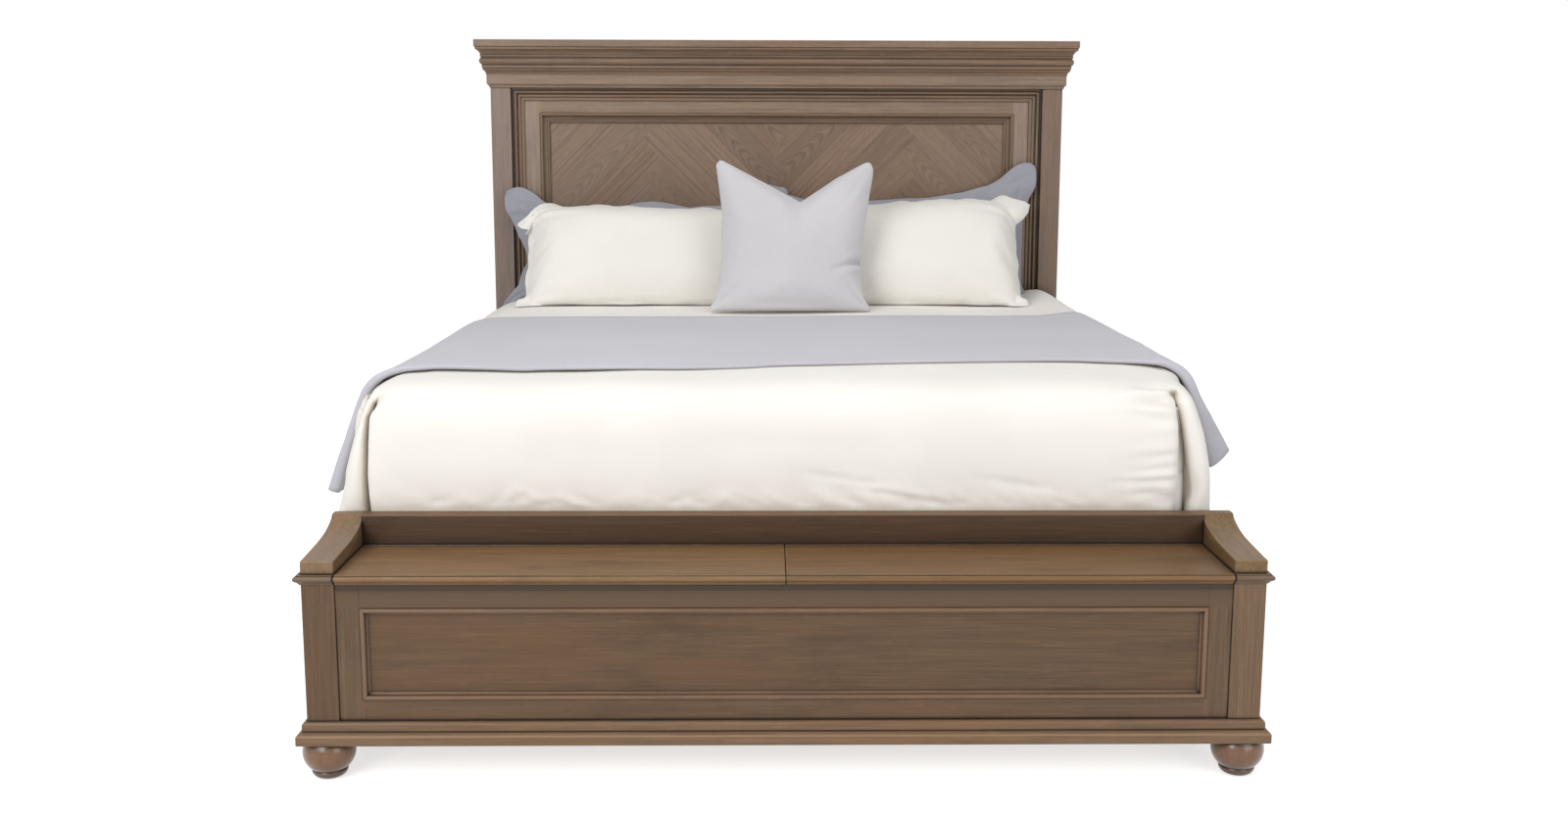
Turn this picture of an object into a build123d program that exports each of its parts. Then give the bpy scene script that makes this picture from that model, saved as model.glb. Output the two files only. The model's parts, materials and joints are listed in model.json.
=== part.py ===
from build123d import *

import os
from math import atan2, cos, degrees, radians, sin

# A king-size bed with a panelled headboard and a blanket chest for a footboard, with its bedding.
# Lengths are millimetres. +Z is up, +X is to the right seen from the foot and the chest is at -Y.
# The origin is on the floor, under the middle of the bed's box.

# ------------------------------------------------------------------ driving sizes
# Mattress and foundation
MATTRESS_WIDTH = 1930
MATTRESS_LENGTH = 2032
MATTRESS_HEIGHT = 330
MATTRESS_SKIN = 18
FOUNDATION_HEIGHT = 215
FOUNDATION_SKIN = 14
MATTRESS_CORNER = 60
MATTRESS_EDGE = 14
FOUNDATION_EDGE = 6
FOOT_GAP = 12
HEAD_GAP = 4
SOFT_CLEARANCE = 0.5

# Blanket chest
FOOT_HEIGHT = 90
SEAT_HEIGHT = 475
SEAT_DEPTH = 241
POST = 72
CHEST_POST_OFFSET = 18
BACKBOARD_THICKNESS = 40
BACKBOARD_RISE = 71
ARM_FRONT_RISE = 28
ARM_JOINT_DROP = 10
FRAME_SETBACK = 4
FRAME_THICKNESS = 22
STILE_WIDTH = 52
TOP_RAIL_WIDTH = 54
BOTTOM_RAIL_SIGHT = 46
PANEL_RECESS = 10
FRONT_PANEL_THICKNESS = 6
RABBET = 10
PANEL_FIT = 0.3
PANEL_BEAD_WIDTH = 16
PANEL_BEAD_RISE = 5
END_PANEL_RECESS = 8
END_PANEL_THICKNESS = 22
CHEST_BACK_THICKNESS = 18
CHEST_FLOOR_THICKNESS = 12
CHEST_FLOOR_RAISE = 18
DIVIDER_THICKNESS = 18
EASED_EDGE = 2

# Lids, their piano hinges and stays
LID_THICKNESS = 23
LID_SEAM = 2
LID_END_GAP = 1.5
LID_REST_GAP = 0.6
HINGE_DROP = 1
KNUCKLE_RADIUS = 3
KNUCKLE_PITCH = 12.7
KNUCKLE_GAP = 0.2
HINGE_PIN_RADIUS = 1.2
HINGE_PIN_CLEARANCE = 0.05
LEAF_THICKNESS = 1.2
LEAF_HEIGHT = 22
LEAF_SPREAD = 3.2
STAY_REACH = 110
STAY_HANG = 38
STAY_LINK_HEIGHT = 90
STAY_LINK_LEAN = 12
STAY_WIDTH = 16
STAY_THICKNESS = 2.5
STAY_INSET = 34
STAY_LAYER_GAP = 0.3
STAY_PIN_RADIUS = 3
STAY_PIN_CLEARANCE = 0.05
STAY_HEAD_RADIUS = 5
STAY_HEAD_THICKNESS = 0.9
STAY_PLATE_THICKNESS = 3
STAY_PLATE_LENGTH = 36
STAY_PLATE_WIDTH = 24

# Nosing of the lids and of the moulding that carries it round the arms
NOSING_FLAT = 7.5
NOSING_QUIRK = 2.5
NOSING_PROJECTION = 13.5
NOSING_BEAD = 12
NOSING_FOOT = 2

# Base moulding and bun feet
BASE_HEIGHT = 51
BASE_PROJECTION = 21
BASE_UPPER_PROJECTION = 9.5
BASE_UPPER_HEIGHT = 20
BASE_FASCIA_HEIGHT = 22
FOOT_RADIUS = 58.5
FOOT_TOP_RADIUS = 49
FOOT_BELLY_HEIGHT = 60
FOOT_NECK_HEIGHT = 21
FOOT_NECK_RADIUS = 41
FOOT_COLLAR_RADIUS = 40
FOOT_TOE_RADIUS = 26
FOOT_TENON_RADIUS = 14
FOOT_TENON_LENGTH = 30
REAR_FOOT_INSET = 45
GLIDE_HEIGHT = 3
GLIDE_RADIUS = 15

# Headboard
HEADBOARD_HEIGHT = 1764
HEAD_POST_OVERLAP = 3
HEAD_POST_DEPTH = 64
CROWN_BOARD_THICKNESS = 25
CROWN_PROJECTION = 48
CROWN_MOULDING_HEIGHT = 96
CROWN_MOULDING_PROJECTION = 44.5
FRIEZE_HEIGHT = 142
FRIEZE_THICKNESS = 11
HEAD_FRAME_SETBACK = 22
HEAD_FRAME_THICKNESS = 22
HEAD_STILE_WIDTH = 100
HEAD_TOP_RAIL_WIDTH = 231
HEAD_BOTTOM_RAIL_WIDTH = 160
HEAD_FRAME_CLEARANCE = 560
HEAD_PANEL_RECESS = 12
HEAD_PANEL_THICKNESS = 8
HEAD_BACK_THICKNESS = 6
FRAME_MOULDING_WIDTH = 46
FRAME_MOULDING_DEPTH = 16.5
PANEL_MOULDING_WIDTH = 38
PANEL_MOULDING_BEAD = 11
PANEL_MOULDING_RISE = 5

# Side rails, slats and their support
SLAT_HEIGHT = 250
SLAT_THICKNESS = 19
SLAT_WIDTH = 89
SLAT_COUNT = 13
SLAT_END_GAP = 3
RAIL_OFFSET = 20
RAIL_THICKNESS = 28
RAIL_HEIGHT = 190
RAIL_ABOVE_SLATS = 90
CLEAT_THICKNESS = 25
CLEAT_HEIGHT = 35
CLEAT_END_GAP = 30
BEAM_WIDTH = 64
BEAM_HEIGHT = 55
LEG_SIZE = 44
LEG_END_INSET = 260
FASTENER_THICKNESS = 3
FASTENER_GAP = 0.3
FASTENER_WIDTH = 22
FASTENER_HEIGHT = 130
FASTENER_RAISE = 92
HOOK_THICKNESS = 3
HOOK_HEIGHT = 18
HOOK_SPACING = 60
HOOK_LIP = 7
HOOK_REACH = 8
SLOT_MARGIN = 0.6
SLOT_LIFT = 8
POCKET_DEPTH = 12

# Bedding
DUVET_THICKNESS = 55
DUVET_DROP = 353
DUVET_STANDOFF = 105
DUVET_SHOULDER = 210
DUVET_HEM_THICKNESS = 40
DUVET_FOOT_TUCK = 75
DUVET_FOOT_INSET = 20
DUVET_BULGE = 14
DUVET_SIDE_GAP = 3
THROW_FROM_FOOT = 221
THROW_WIDTH = 1073
THROW_THICKNESS = 8
THROW_DROP = 305
THROW_FLARE = 34
PILLOW_WIDTH = 865
PILLOW_HEIGHT = 410
PILLOW_THICKNESS = 210
PILLOW_SPACING = 7
PILLOW_SEAT = 420
SHAM_WIDTH = 950
SHAM_HEIGHT = 400
SHAM_THICKNESS = 140
SHAM_SPACING = 6
SHAM_SEAT = 108
CUSHION_WIDTH = 508
CUSHION_HEIGHT = 520
CUSHION_THICKNESS = 150
CUSHION_OFFSET = 49
CUSHION_SEAT = 606

# How far the pillows, shams and cushion lean back, in degrees from the bed
PILLOW_ANGLE = 54
SHAM_ANGLE = 79
CUSHION_ANGLE = 69

# ------------------------------------------------------------------ planes shared by the pieces
FOOT_REACH = FOOT_RADIUS - POST / 2
LENGTH = (
    FOOT_REACH
    + SEAT_DEPTH
    + BACKBOARD_THICKNESS
    + FOOT_GAP
    + MATTRESS_LENGTH
    + HEAD_GAP
    + HEAD_POST_DEPTH
)
y_chest = -LENGTH / 2 + FOOT_REACH
y_backboard = y_chest + SEAT_DEPTH
y_bed = y_backboard + BACKBOARD_THICKNESS
y_mattress = y_bed + FOOT_GAP
y_head = y_mattress + MATTRESS_LENGTH + HEAD_GAP
y_rear = y_head + HEAD_POST_DEPTH
y_frame = y_chest + FRAME_SETBACK
y_frame_back = y_frame + FRAME_THICKNESS
y_panel = y_frame + PANEL_RECESS
y_head_frame = y_head + HEAD_FRAME_SETBACK
y_head_panel = y_head_frame + HEAD_PANEL_RECESS
y_head_back = y_head_frame + HEAD_FRAME_THICKNESS

x_mattress = MATTRESS_WIDTH / 2
x_post_in = x_mattress + CHEST_POST_OFFSET
x_post_out = x_post_in + POST
x_stile = x_post_in - STILE_WIDTH
x_end_panel = x_post_out - END_PANEL_RECESS - END_PANEL_THICKNESS
x_foot = x_post_out - POST / 2
x_head_in = x_mattress - HEAD_POST_OVERLAP
x_head_out = x_head_in + POST
x_head_stile = x_head_in - HEAD_STILE_WIDTH
x_rail = x_mattress + RAIL_OFFSET
x_duvet = x_mattress + DUVET_STANDOFF

z_lid_bottom = SEAT_HEIGHT - LID_THICKNESS
z_arm_joint = SEAT_HEIGHT - ARM_JOINT_DROP
z_arm_front = SEAT_HEIGHT + ARM_FRONT_RISE
z_backboard = SEAT_HEIGHT + BACKBOARD_RISE
z_rail_top = z_lid_bottom - LID_REST_GAP
z_top_rail = z_rail_top - TOP_RAIL_WIDTH
z_base = FOOT_HEIGHT + BASE_HEIGHT
z_bottom_rail = z_base + BOTTOM_RAIL_SIGHT
z_floor_bottom = FOOT_HEIGHT + CHEST_FLOOR_RAISE
z_floor_top = z_floor_bottom + CHEST_FLOOR_THICKNESS
z_crown = HEADBOARD_HEIGHT - CROWN_BOARD_THICKNESS
z_crown_moulding = z_crown - CROWN_MOULDING_HEIGHT
z_frieze = z_crown - FRIEZE_HEIGHT
z_head_top_rail = z_crown - HEAD_TOP_RAIL_WIDTH
z_head_bottom_rail = HEAD_FRAME_CLEARANCE + HEAD_BOTTOM_RAIL_WIDTH
z_slat = SLAT_HEIGHT - SLAT_THICKNESS
z_side_rail_top = SLAT_HEIGHT + RAIL_ABOVE_SLATS
z_side_rail = z_side_rail_top - RAIL_HEIGHT
z_fastener = z_side_rail + FASTENER_RAISE
z_foundation = SLAT_HEIGHT + FOUNDATION_HEIGHT
z_mattress = z_foundation + MATTRESS_HEIGHT
z_duvet = z_mattress + DUVET_THICKNESS
z_duvet_hem = z_duvet - DUVET_DROP
z_throw_hem = z_duvet - THROW_DROP

y_hinge = y_backboard - LEAF_SPREAD
z_hinge = SEAT_HEIGHT - HINGE_DROP
y_lid_rear = y_hinge - LEAF_SPREAD

os.makedirs("parts", exist_ok=True)


# ------------------------------------------------------------------ helpers
def save(piece, name):
    """Label a finished piece and write it to its STEP file."""
    piece.part.label = name
    export_step(piece.part, f"parts/{name}.step")


def block(x, y, z, mode=Mode.ADD):
    """Add or cut a block that spans the low and high values of each axis."""
    centre = tuple((low + high) / 2 for low, high in (x, y, z))
    with Locations(centre):
        Box(x[1] - x[0], y[1] - y[0], z[1] - z[0], mode=mode)


def pair(low, high, side):
    """Return a span on the right side of the bed, or its mirror on the left."""
    return (low, high) if side > 0 else (-high, -low)


def bar(start, end, radius, mode=Mode.ADD):
    """Add or cut a round bar along X between two points (x, y, z) that differ in x alone."""
    low = min(start[0], end[0])
    with BuildSketch(Plane(origin=(low, start[1], start[2]), x_dir=(0, 1, 0), z_dir=(1, 0, 0))) as disc:
        Circle(radius)
    extrude(disc.sketch, amount=abs(end[0] - start[0]), mode=mode)


def ease(piece_edges, size=EASED_EDGE):
    """Round the given edges of the active piece."""
    fillet(piece_edges, radius=size)


# ------------------------------------------------------------------ headboard
def headboard_post(side, name):
    """Square post that carries the crown and takes a side rail."""
    with BuildPart() as post:
        block(pair(x_head_in, x_head_out, side), (y_head, y_rear), (GLIDE_HEIGHT, z_crown))
        ease(post.edges().filter_by(Axis.Z))
        hook_pockets(side, y_head, 1)
    save(post, name)


def headboard_stiles():
    """Upright members of the headboard's frame, rabbeted for the panel."""
    with BuildPart() as stiles:
        for side in (-1, 1):
            block(
                pair(x_head_stile, x_head_in, side),
                (y_head_frame, y_head_back),
                (HEAD_FRAME_CLEARANCE, z_crown),
            )
        block(
            (-x_head_stile - RABBET, x_head_stile + RABBET),
            (y_head_panel, y_head_back),
            (z_head_bottom_rail - RABBET, z_head_top_rail + RABBET),
            Mode.SUBTRACT,
        )
    save(stiles, "headboard_stiles")


def headboard_rails():
    """Cross members of the headboard's frame, rabbeted for the panel."""
    with BuildPart() as rails:
        for z in ((HEAD_FRAME_CLEARANCE, z_head_bottom_rail), (z_head_top_rail, z_crown)):
            block((-x_head_stile, x_head_stile), (y_head_frame, y_head_back), z)
        block(
            (-x_head_stile, x_head_stile),
            (y_head_panel, y_head_back),
            (z_head_bottom_rail - RABBET, z_head_top_rail + RABBET),
            Mode.SUBTRACT,
        )
    save(rails, "headboard_rails")


def headboard_panels():
    """Veneered panel in the rabbet, and the plain back that closes the frame."""
    reach = RABBET - PANEL_FIT
    with BuildPart() as panel:
        block(
            (-x_head_stile - reach, x_head_stile + reach),
            (y_head_panel, y_head_panel + HEAD_PANEL_THICKNESS),
            (z_head_bottom_rail - reach, z_head_top_rail + reach),
        )
    save(panel, "headboard_veneer_panel")
    with BuildPart() as back:
        block(
            (-x_head_in, x_head_in),
            (y_head_back, y_head_back + HEAD_BACK_THICKNESS),
            (HEAD_FRAME_CLEARANCE, z_crown),
        )
    save(back, "headboard_back_panel")


def headboard_frame_moulding():
    """Stepped moulding with one bead, mitred round three sides inside the posts and the frieze."""
    width, deep = FRAME_MOULDING_WIDTH, FRAME_MOULDING_DEPTH

    def spot(share_in, share_out):
        """Return a point at a share of the moulding's width and of its depth."""
        return (share_in * width, -share_out * deep)

    with BuildPart() as moulding:
        with BuildLine():
            Polyline(
                (-x_head_in, y_head_frame, HEAD_FRAME_CLEARANCE),
                (-x_head_in, y_head_frame, z_frieze),
                (x_head_in, y_head_frame, z_frieze),
                (x_head_in, y_head_frame, HEAD_FRAME_CLEARANCE),
            )
        with BuildSketch(Plane((-x_head_in, y_head_frame, HEAD_FRAME_CLEARANCE), (1, 0, 0), (0, 0, 1))):
            with BuildLine():
                Polyline((0, 0), spot(0, 0.42), spot(0.17, 0.42), spot(0.22, 0.73))
                ThreePointArc(spot(0.22, 0.73), spot(0.33, 1), spot(0.43, 0.73))
                Polyline(spot(0.43, 0.73), spot(0.43, 0.48), spot(0.5, 0.48))
                ThreePointArc(spot(0.5, 0.48), spot(0.63, 0.58), spot(0.74, 0.36))
                Polyline(spot(0.74, 0.36), spot(0.74, 0.24), spot(0.95, 0.24))
                ThreePointArc(spot(0.95, 0.24), spot(0.99, 0.18), spot(1, 0.06))
                Polyline(spot(1, 0.06), (width, 0), (0, 0))
            make_face()
        sweep(transition=Transition.RIGHT)
    save(moulding, "headboard_frame_moulding")


def headboard_panel_moulding():
    """Double bead with a cove between, mitred round the veneered panel."""
    width, lip = PANEL_MOULDING_WIDTH, HEAD_PANEL_RECESS
    bead, rise = PANEL_MOULDING_BEAD, PANEL_MOULDING_RISE
    top, bottom, half = z_head_top_rail, z_head_bottom_rail, x_head_stile
    with BuildPart() as moulding:
        with BuildLine():
            Polyline(
                (0, y_head_panel, top),
                (half, y_head_panel, top),
                (half, y_head_panel, bottom),
                (-half, y_head_panel, bottom),
                (-half, y_head_panel, top),
                close=True,
            )
        with BuildSketch(Plane((0, y_head_panel, top), (0, 0, -1), (1, 0, 0))):
            with BuildLine():
                Line((0, 0), (0, -lip))
                ThreePointArc((0, -lip), (0.5 * bead, -lip - rise), (bead, -lip))
                Polyline((bead, -lip), (bead, -0.83 * lip), (1.2 * bead, -0.83 * lip))
                ThreePointArc((1.2 * bead, -0.83 * lip), (0.45 * width, -rise), (0.63 * width, -0.3 * lip))
                Line((0.63 * width, -0.3 * lip), (0.68 * width, -0.3 * lip))
                ThreePointArc((0.68 * width, -0.3 * lip), (0.79 * width, -0.6 * lip), (0.9 * width, -0.3 * lip))
                Polyline((0.9 * width, -0.3 * lip), (0.9 * width, -0.16 * lip), (width, -0.12 * lip), (width, 0), (0, 0))
            make_face()
        sweep(transition=Transition.RIGHT)
    save(moulding, "headboard_panel_moulding")


def crown_path():
    """Draw the run round the headboard's left side, front and right side."""
    Polyline(
        (-x_head_out, y_rear, 0),
        (-x_head_out, y_head, 0),
        (x_head_out, y_head, 0),
        (x_head_out, y_rear, 0),
    )


def frieze():
    """Flat facing board under the crown, with an ogee along its lower edge."""
    out, foot = FRIEZE_THICKNESS, z_frieze
    with BuildPart() as board:
        with BuildLine():
            crown_path()
        with BuildSketch(Plane((-x_head_out, y_rear, 0), (-1, 0, 0), (0, 1, 0))):
            with BuildLine():
                Polyline((0, foot), (0.32 * out, foot), (0.32 * out, foot + 0.18 * out))
                ThreePointArc(
                    (0.32 * out, foot + 0.18 * out), (0.5 * out, foot + 0.68 * out), (0.9 * out, foot + out)
                )
                Polyline(
                    (0.9 * out, foot + out), (out, foot + 1.2 * out), (out, z_crown), (0, z_crown), (0, foot)
                )
            make_face()
        sweep(transition=Transition.RIGHT)
    save(board, "frieze_board")


def crown_moulding():
    """Built-up cornice: taper, two fillets, torus, bead and cove under the crown board."""
    back, foot, top = FRIEZE_THICKNESS, z_crown_moulding, z_crown
    out = CROWN_MOULDING_PROJECTION - FRIEZE_THICKNESS

    def spot(share_out, share_up):
        """Return a point at a share of the moulding's projection and of its height."""
        return (back + share_out * out, foot + share_up * CROWN_MOULDING_HEIGHT)

    with BuildPart() as moulding:
        with BuildLine():
            crown_path()
        with BuildSketch(Plane((-x_head_out, y_rear, 0), (-1, 0, 0), (0, 1, 0))):
            with BuildLine():
                Line((back, foot), spot(0.045, 0))
                ThreePointArc(spot(0.045, 0), spot(0.09, 0.083), spot(0.254, 0.146))
                Polyline(spot(0.254, 0.146), spot(0.33, 0.156), spot(0.33, 0.198), spot(0.285, 0.208))
                Polyline(spot(0.285, 0.208), spot(0.403, 0.24), spot(0.403, 0.333), spot(0.36, 0.349))
                ThreePointArc(spot(0.36, 0.349), spot(0.627, 0.479), spot(0.463, 0.604))
                Line(spot(0.463, 0.604), spot(0.448, 0.625))
                ThreePointArc(spot(0.448, 0.625), spot(0.552, 0.667), spot(0.493, 0.719))
                Line(spot(0.493, 0.719), spot(0.522, 0.729))
                ThreePointArc(spot(0.522, 0.729), spot(0.657, 0.823), spot(0.955, 0.906))
                Polyline(spot(0.955, 0.906), spot(1, 0.927), spot(1, 1), (back, top), (back, foot))
            make_face()
        sweep(transition=Transition.RIGHT)
    save(moulding, "crown_moulding")


def crown_board():
    """Top board of the crown, flush with the posts at the back."""
    reach = x_head_out + CROWN_PROJECTION
    with BuildPart() as board:
        block((-reach, reach), (y_head - CROWN_PROJECTION, y_rear), (z_crown, HEADBOARD_HEIGHT))
        front = board.faces().sort_by(Axis.Y)[0]
        ends = board.faces().sort_by(Axis.X)
        ease(front.edges().filter_by(Axis.X) + ends[0].edges().filter_by(Axis.Y) + ends[-1].edges().filter_by(Axis.Y))
    save(board, "crown_board")


# ------------------------------------------------------------------ side rails and slats
def hook_pockets(side, y_face, into):
    """Cut the pockets behind a fastener's slots into the post, from its face along `into`."""
    x_mid = side * (x_rail + RAIL_THICKNESS / 2)
    half = HOOK_THICKNESS / 2 + SLOT_MARGIN
    depth = sorted((y_face, y_face + into * POCKET_DEPTH))
    for level in hook_levels():
        low = level - HOOK_HEIGHT / 2 - HOOK_LIP - SLOT_MARGIN
        high = level + HOOK_HEIGHT / 2 + SLOT_LIFT
        block((x_mid - half, x_mid + half), depth, (low, high), Mode.SUBTRACT)


def rail_ends():
    """Return the post face and the direction into the post at the foot and at the head."""
    return ((y_bed, -1), (y_head, 1))


def hook_levels():
    """Return the heights of a rail end's two hooks."""
    return (z_fastener - HOOK_SPACING / 2, z_fastener + HOOK_SPACING / 2)


def side_rail(side, name):
    """Side rail that hangs between the chest and the headboard on its hook plates."""
    inset = 2 * FASTENER_THICKNESS + FASTENER_GAP
    with BuildPart() as rail:
        block(
            pair(x_rail, x_rail + RAIL_THICKNESS, side),
            (y_bed + inset, y_head - inset),
            (z_side_rail, z_side_rail_top),
        )
        ease(rail.edges().filter_by(Axis.Y))
    save(rail, name)


def rail_fasteners():
    """Slotted plates on the posts and hook plates on the rail ends, four of each."""
    half_width = FASTENER_WIDTH / 2
    z_plate = (z_fastener - FASTENER_HEIGHT / 2, z_fastener + FASTENER_HEIGHT / 2)
    with BuildPart() as sockets:
        for side in (-1, 1):
            for y_face, into in rail_ends():
                span = sorted((y_face, y_face - into * FASTENER_THICKNESS))
                x_mid = side * (x_rail + RAIL_THICKNESS / 2)
                block((x_mid - half_width, x_mid + half_width), span, z_plate)
                half = HOOK_THICKNESS / 2 + SLOT_MARGIN
                for level in hook_levels():
                    z_slot = (level - HOOK_HEIGHT / 2 - SLOT_MARGIN, level + HOOK_HEIGHT / 2 + SLOT_LIFT)
                    block((x_mid - half, x_mid + half), span, z_slot, Mode.SUBTRACT)
    save(sockets, "rail_socket_plates")
    with BuildPart() as hooks:
        for side in (-1, 1):
            for y_face, into in rail_ends():
                y_near = y_face - into * (FASTENER_THICKNESS + FASTENER_GAP)
                y_far = y_near - into * FASTENER_THICKNESS
                y_tip = y_face + into * HOOK_REACH
                x_mid = side * (x_rail + RAIL_THICKNESS / 2)
                block((x_mid - half_width, x_mid + half_width), sorted((y_near, y_far)), z_plate)
                x_hook = (x_mid - HOOK_THICKNESS / 2, x_mid + HOOK_THICKNESS / 2)
                for level in hook_levels():
                    low = level - HOOK_HEIGHT / 2
                    block(x_hook, sorted((y_near, y_tip)), (low, low + HOOK_HEIGHT))
                    y_lip = sorted((y_face + into * FASTENER_GAP, y_tip))
                    block(x_hook, y_lip, (low - HOOK_LIP, low + FASTENER_GAP))
    save(hooks, "rail_hook_plates")


def slat_support():
    """Cleats on the rails, the slats, the centre beam and its legs."""
    cleat_end = CLEAT_END_GAP
    with BuildPart() as cleats:
        for side in (-1, 1):
            block(
                pair(x_rail - CLEAT_THICKNESS, x_rail, side),
                (y_bed + cleat_end, y_head - cleat_end),
                (z_slat - CLEAT_HEIGHT, z_slat),
            )
    save(cleats, "slat_cleats")
    first = y_bed + cleat_end + SLAT_WIDTH / 2
    last = y_head - cleat_end - SLAT_WIDTH / 2
    pitch = (last - first) / (SLAT_COUNT - 1)
    x_slat = x_rail - SLAT_END_GAP
    with BuildPart() as slats:
        for index in range(SLAT_COUNT):
            y_mid = first + index * pitch
            block((-x_slat, x_slat), (y_mid - SLAT_WIDTH / 2, y_mid + SLAT_WIDTH / 2), (z_slat, SLAT_HEIGHT))
    save(slats, "bed_slats")
    with BuildPart() as beam:
        block(
            (-BEAM_WIDTH / 2, BEAM_WIDTH / 2),
            (y_bed + cleat_end, y_head - cleat_end),
            (z_slat - BEAM_HEIGHT, z_slat),
        )
    save(beam, "centre_beam")
    with BuildPart() as legs:
        for y_mid in leg_places():
            block(
                (-LEG_SIZE / 2, LEG_SIZE / 2),
                (y_mid - LEG_SIZE / 2, y_mid + LEG_SIZE / 2),
                (GLIDE_HEIGHT, z_slat - BEAM_HEIGHT),
            )
    save(legs, "support_legs")


def leg_places():
    """Return where the centre beam's legs stand along the bed."""
    near, far = y_bed + LEG_END_INSET, y_head - LEG_END_INSET
    return (near, (near + far) / 2, far)


# ------------------------------------------------------------------ blanket chest
def chest_post(side, name):
    """Front post, drilled from below for the foot's tenon."""
    with BuildPart() as post:
        block(pair(x_post_in, x_post_out, side), (y_chest, y_chest + POST), (FOOT_HEIGHT, z_arm_joint))
        ease(post.edges().filter_by(Axis.Z))
        with BuildSketch(Plane.XY.offset(FOOT_HEIGHT)) as hole:
            with Locations((side * x_foot, y_chest + POST / 2)):
                Circle(FOOT_TENON_RADIUS)
        extrude(hole.sketch, amount=FOOT_TENON_LENGTH, mode=Mode.SUBTRACT)
    save(post, name)


def chest_rear_posts():
    """Rear corner posts, which take the side rails' hooks."""
    with BuildPart() as posts:
        for side in (-1, 1):
            block(pair(x_post_in, x_post_out, side), (y_backboard, y_bed), (FOOT_HEIGHT, z_arm_joint))
            hook_pockets(side, y_bed, -1)
    save(posts, "chest_rear_posts")


def chest_end_panels():
    """Panels between the front and rear posts, under the arms."""
    with BuildPart() as panels:
        for side in (-1, 1):
            block(
                pair(x_end_panel, x_end_panel + END_PANEL_THICKNESS, side),
                (y_chest + POST, y_backboard),
                (FOOT_HEIGHT, z_arm_joint),
            )
    save(panels, "chest_end_panels")


def arm(side, name):
    """Solid arm that sweeps from a low block at the front up to the backboard's height."""
    rise, run = z_backboard - z_arm_front, SEAT_DEPTH
    brow = (y_backboard + 0.2 * BACKBOARD_THICKNESS, z_backboard - 0.14 * rise)
    level = (y_backboard + 0.5 * BACKBOARD_THICKNESS, z_backboard)
    with BuildPart() as piece:
        with BuildSketch(Plane((min(pair(x_post_in, x_post_out, side)), 0, 0), (0, 1, 0), (1, 0, 0))):
            with BuildLine():
                Polyline(level, (y_bed, z_backboard), (y_bed, z_arm_joint), (y_chest, z_arm_joint), (y_chest, z_arm_front))
                Spline(
                    (y_chest, z_arm_front),
                    (y_chest + 0.38 * run, z_arm_front + 0.12 * rise),
                    (y_chest + 0.7 * run, z_arm_front + 0.27 * rise),
                    (y_chest + 0.935 * run, z_arm_front + 0.58 * rise),
                    brow,
                    tangents=((1, 0.04), (0.7, 0.72)),
                )
                ThreePointArc(brow, (y_backboard + 0.31 * BACKBOARD_THICKNESS, z_backboard - 0.042 * rise), level)
            make_face()
        extrude(amount=POST)
        ease(piece.faces().sort_by(Axis.Y)[0].edges().filter_by(Axis.Z))
    save(piece, name)


def nosing(back, top):
    """Draw the nosing's outline: x is the projection from the post's face and y the height."""
    quirk, out, foot = NOSING_FLAT, NOSING_PROJECTION, top - LID_THICKNESS
    bead_top = top - NOSING_QUIRK
    bead_low = bead_top - NOSING_BEAD
    root = quirk + 0.33 * (out - quirk)
    neck = bead_low - 0.6 * NOSING_QUIRK
    Polyline((-back, foot), (-back, top), (quirk, top), (quirk, bead_top), (root, bead_top))
    ThreePointArc((root, bead_top), (out, (bead_top + bead_low) / 2), (root, bead_low))
    Line((root, bead_low), (quirk, neck))
    ThreePointArc((quirk, neck), (0.45 * (quirk + NOSING_FOOT), neck - 0.45 * (neck - foot)), (NOSING_FOOT, foot))
    Line((NOSING_FOOT, foot), (-back, foot))


def arm_mouldings():
    """Mouldings that carry the lids' nosing round the post and along the arm's outer face."""
    with BuildPart() as mouldings:
        for side in (-1, 1):
            with BuildLine() as run:
                Polyline(
                    (side * x_post_in, y_chest, 0),
                    (side * x_post_out, y_chest, 0),
                    (side * x_post_out, y_bed, 0),
                )
            with BuildSketch(Plane((side * x_post_in, y_chest, 0), (0, -1, 0), (-1, 0, 0))) as section:
                with BuildLine():
                    nosing(0, SEAT_HEIGHT)
                make_face()
            sweep(section.sketch, path=run.wires()[0], transition=Transition.RIGHT)
    save(mouldings, "arm_mouldings")


def chest_front_frame():
    """Stiles and rails of the chest's front, rabbeted at the back for the panel."""
    y_thick = (y_frame, y_frame_back)
    rabbet_x = (-x_stile - RABBET, x_stile + RABBET)
    rabbet_z = (z_bottom_rail - RABBET, z_top_rail + RABBET)
    with BuildPart() as stiles:
        for side in (-1, 1):
            block(pair(x_stile, x_post_in, side), y_thick, (FOOT_HEIGHT, z_rail_top))
        block(rabbet_x, (y_panel, y_frame_back), rabbet_z, Mode.SUBTRACT)
    save(stiles, "chest_front_stiles")
    with BuildPart() as rails:
        block((-x_stile, x_stile), y_thick, (FOOT_HEIGHT, z_bottom_rail))
        block((-x_stile, x_stile), y_thick, (z_top_rail, z_rail_top))
        block(rabbet_x, (y_panel, y_frame_back), rabbet_z, Mode.SUBTRACT)
    save(rails, "chest_front_rails")
    reach = RABBET - PANEL_FIT
    with BuildPart() as panel:
        block(
            (-x_stile - reach, x_stile + reach),
            (y_panel, y_panel + FRONT_PANEL_THICKNESS),
            (z_bottom_rail - reach, z_top_rail + reach),
        )
    save(panel, "chest_front_panel")


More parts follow.
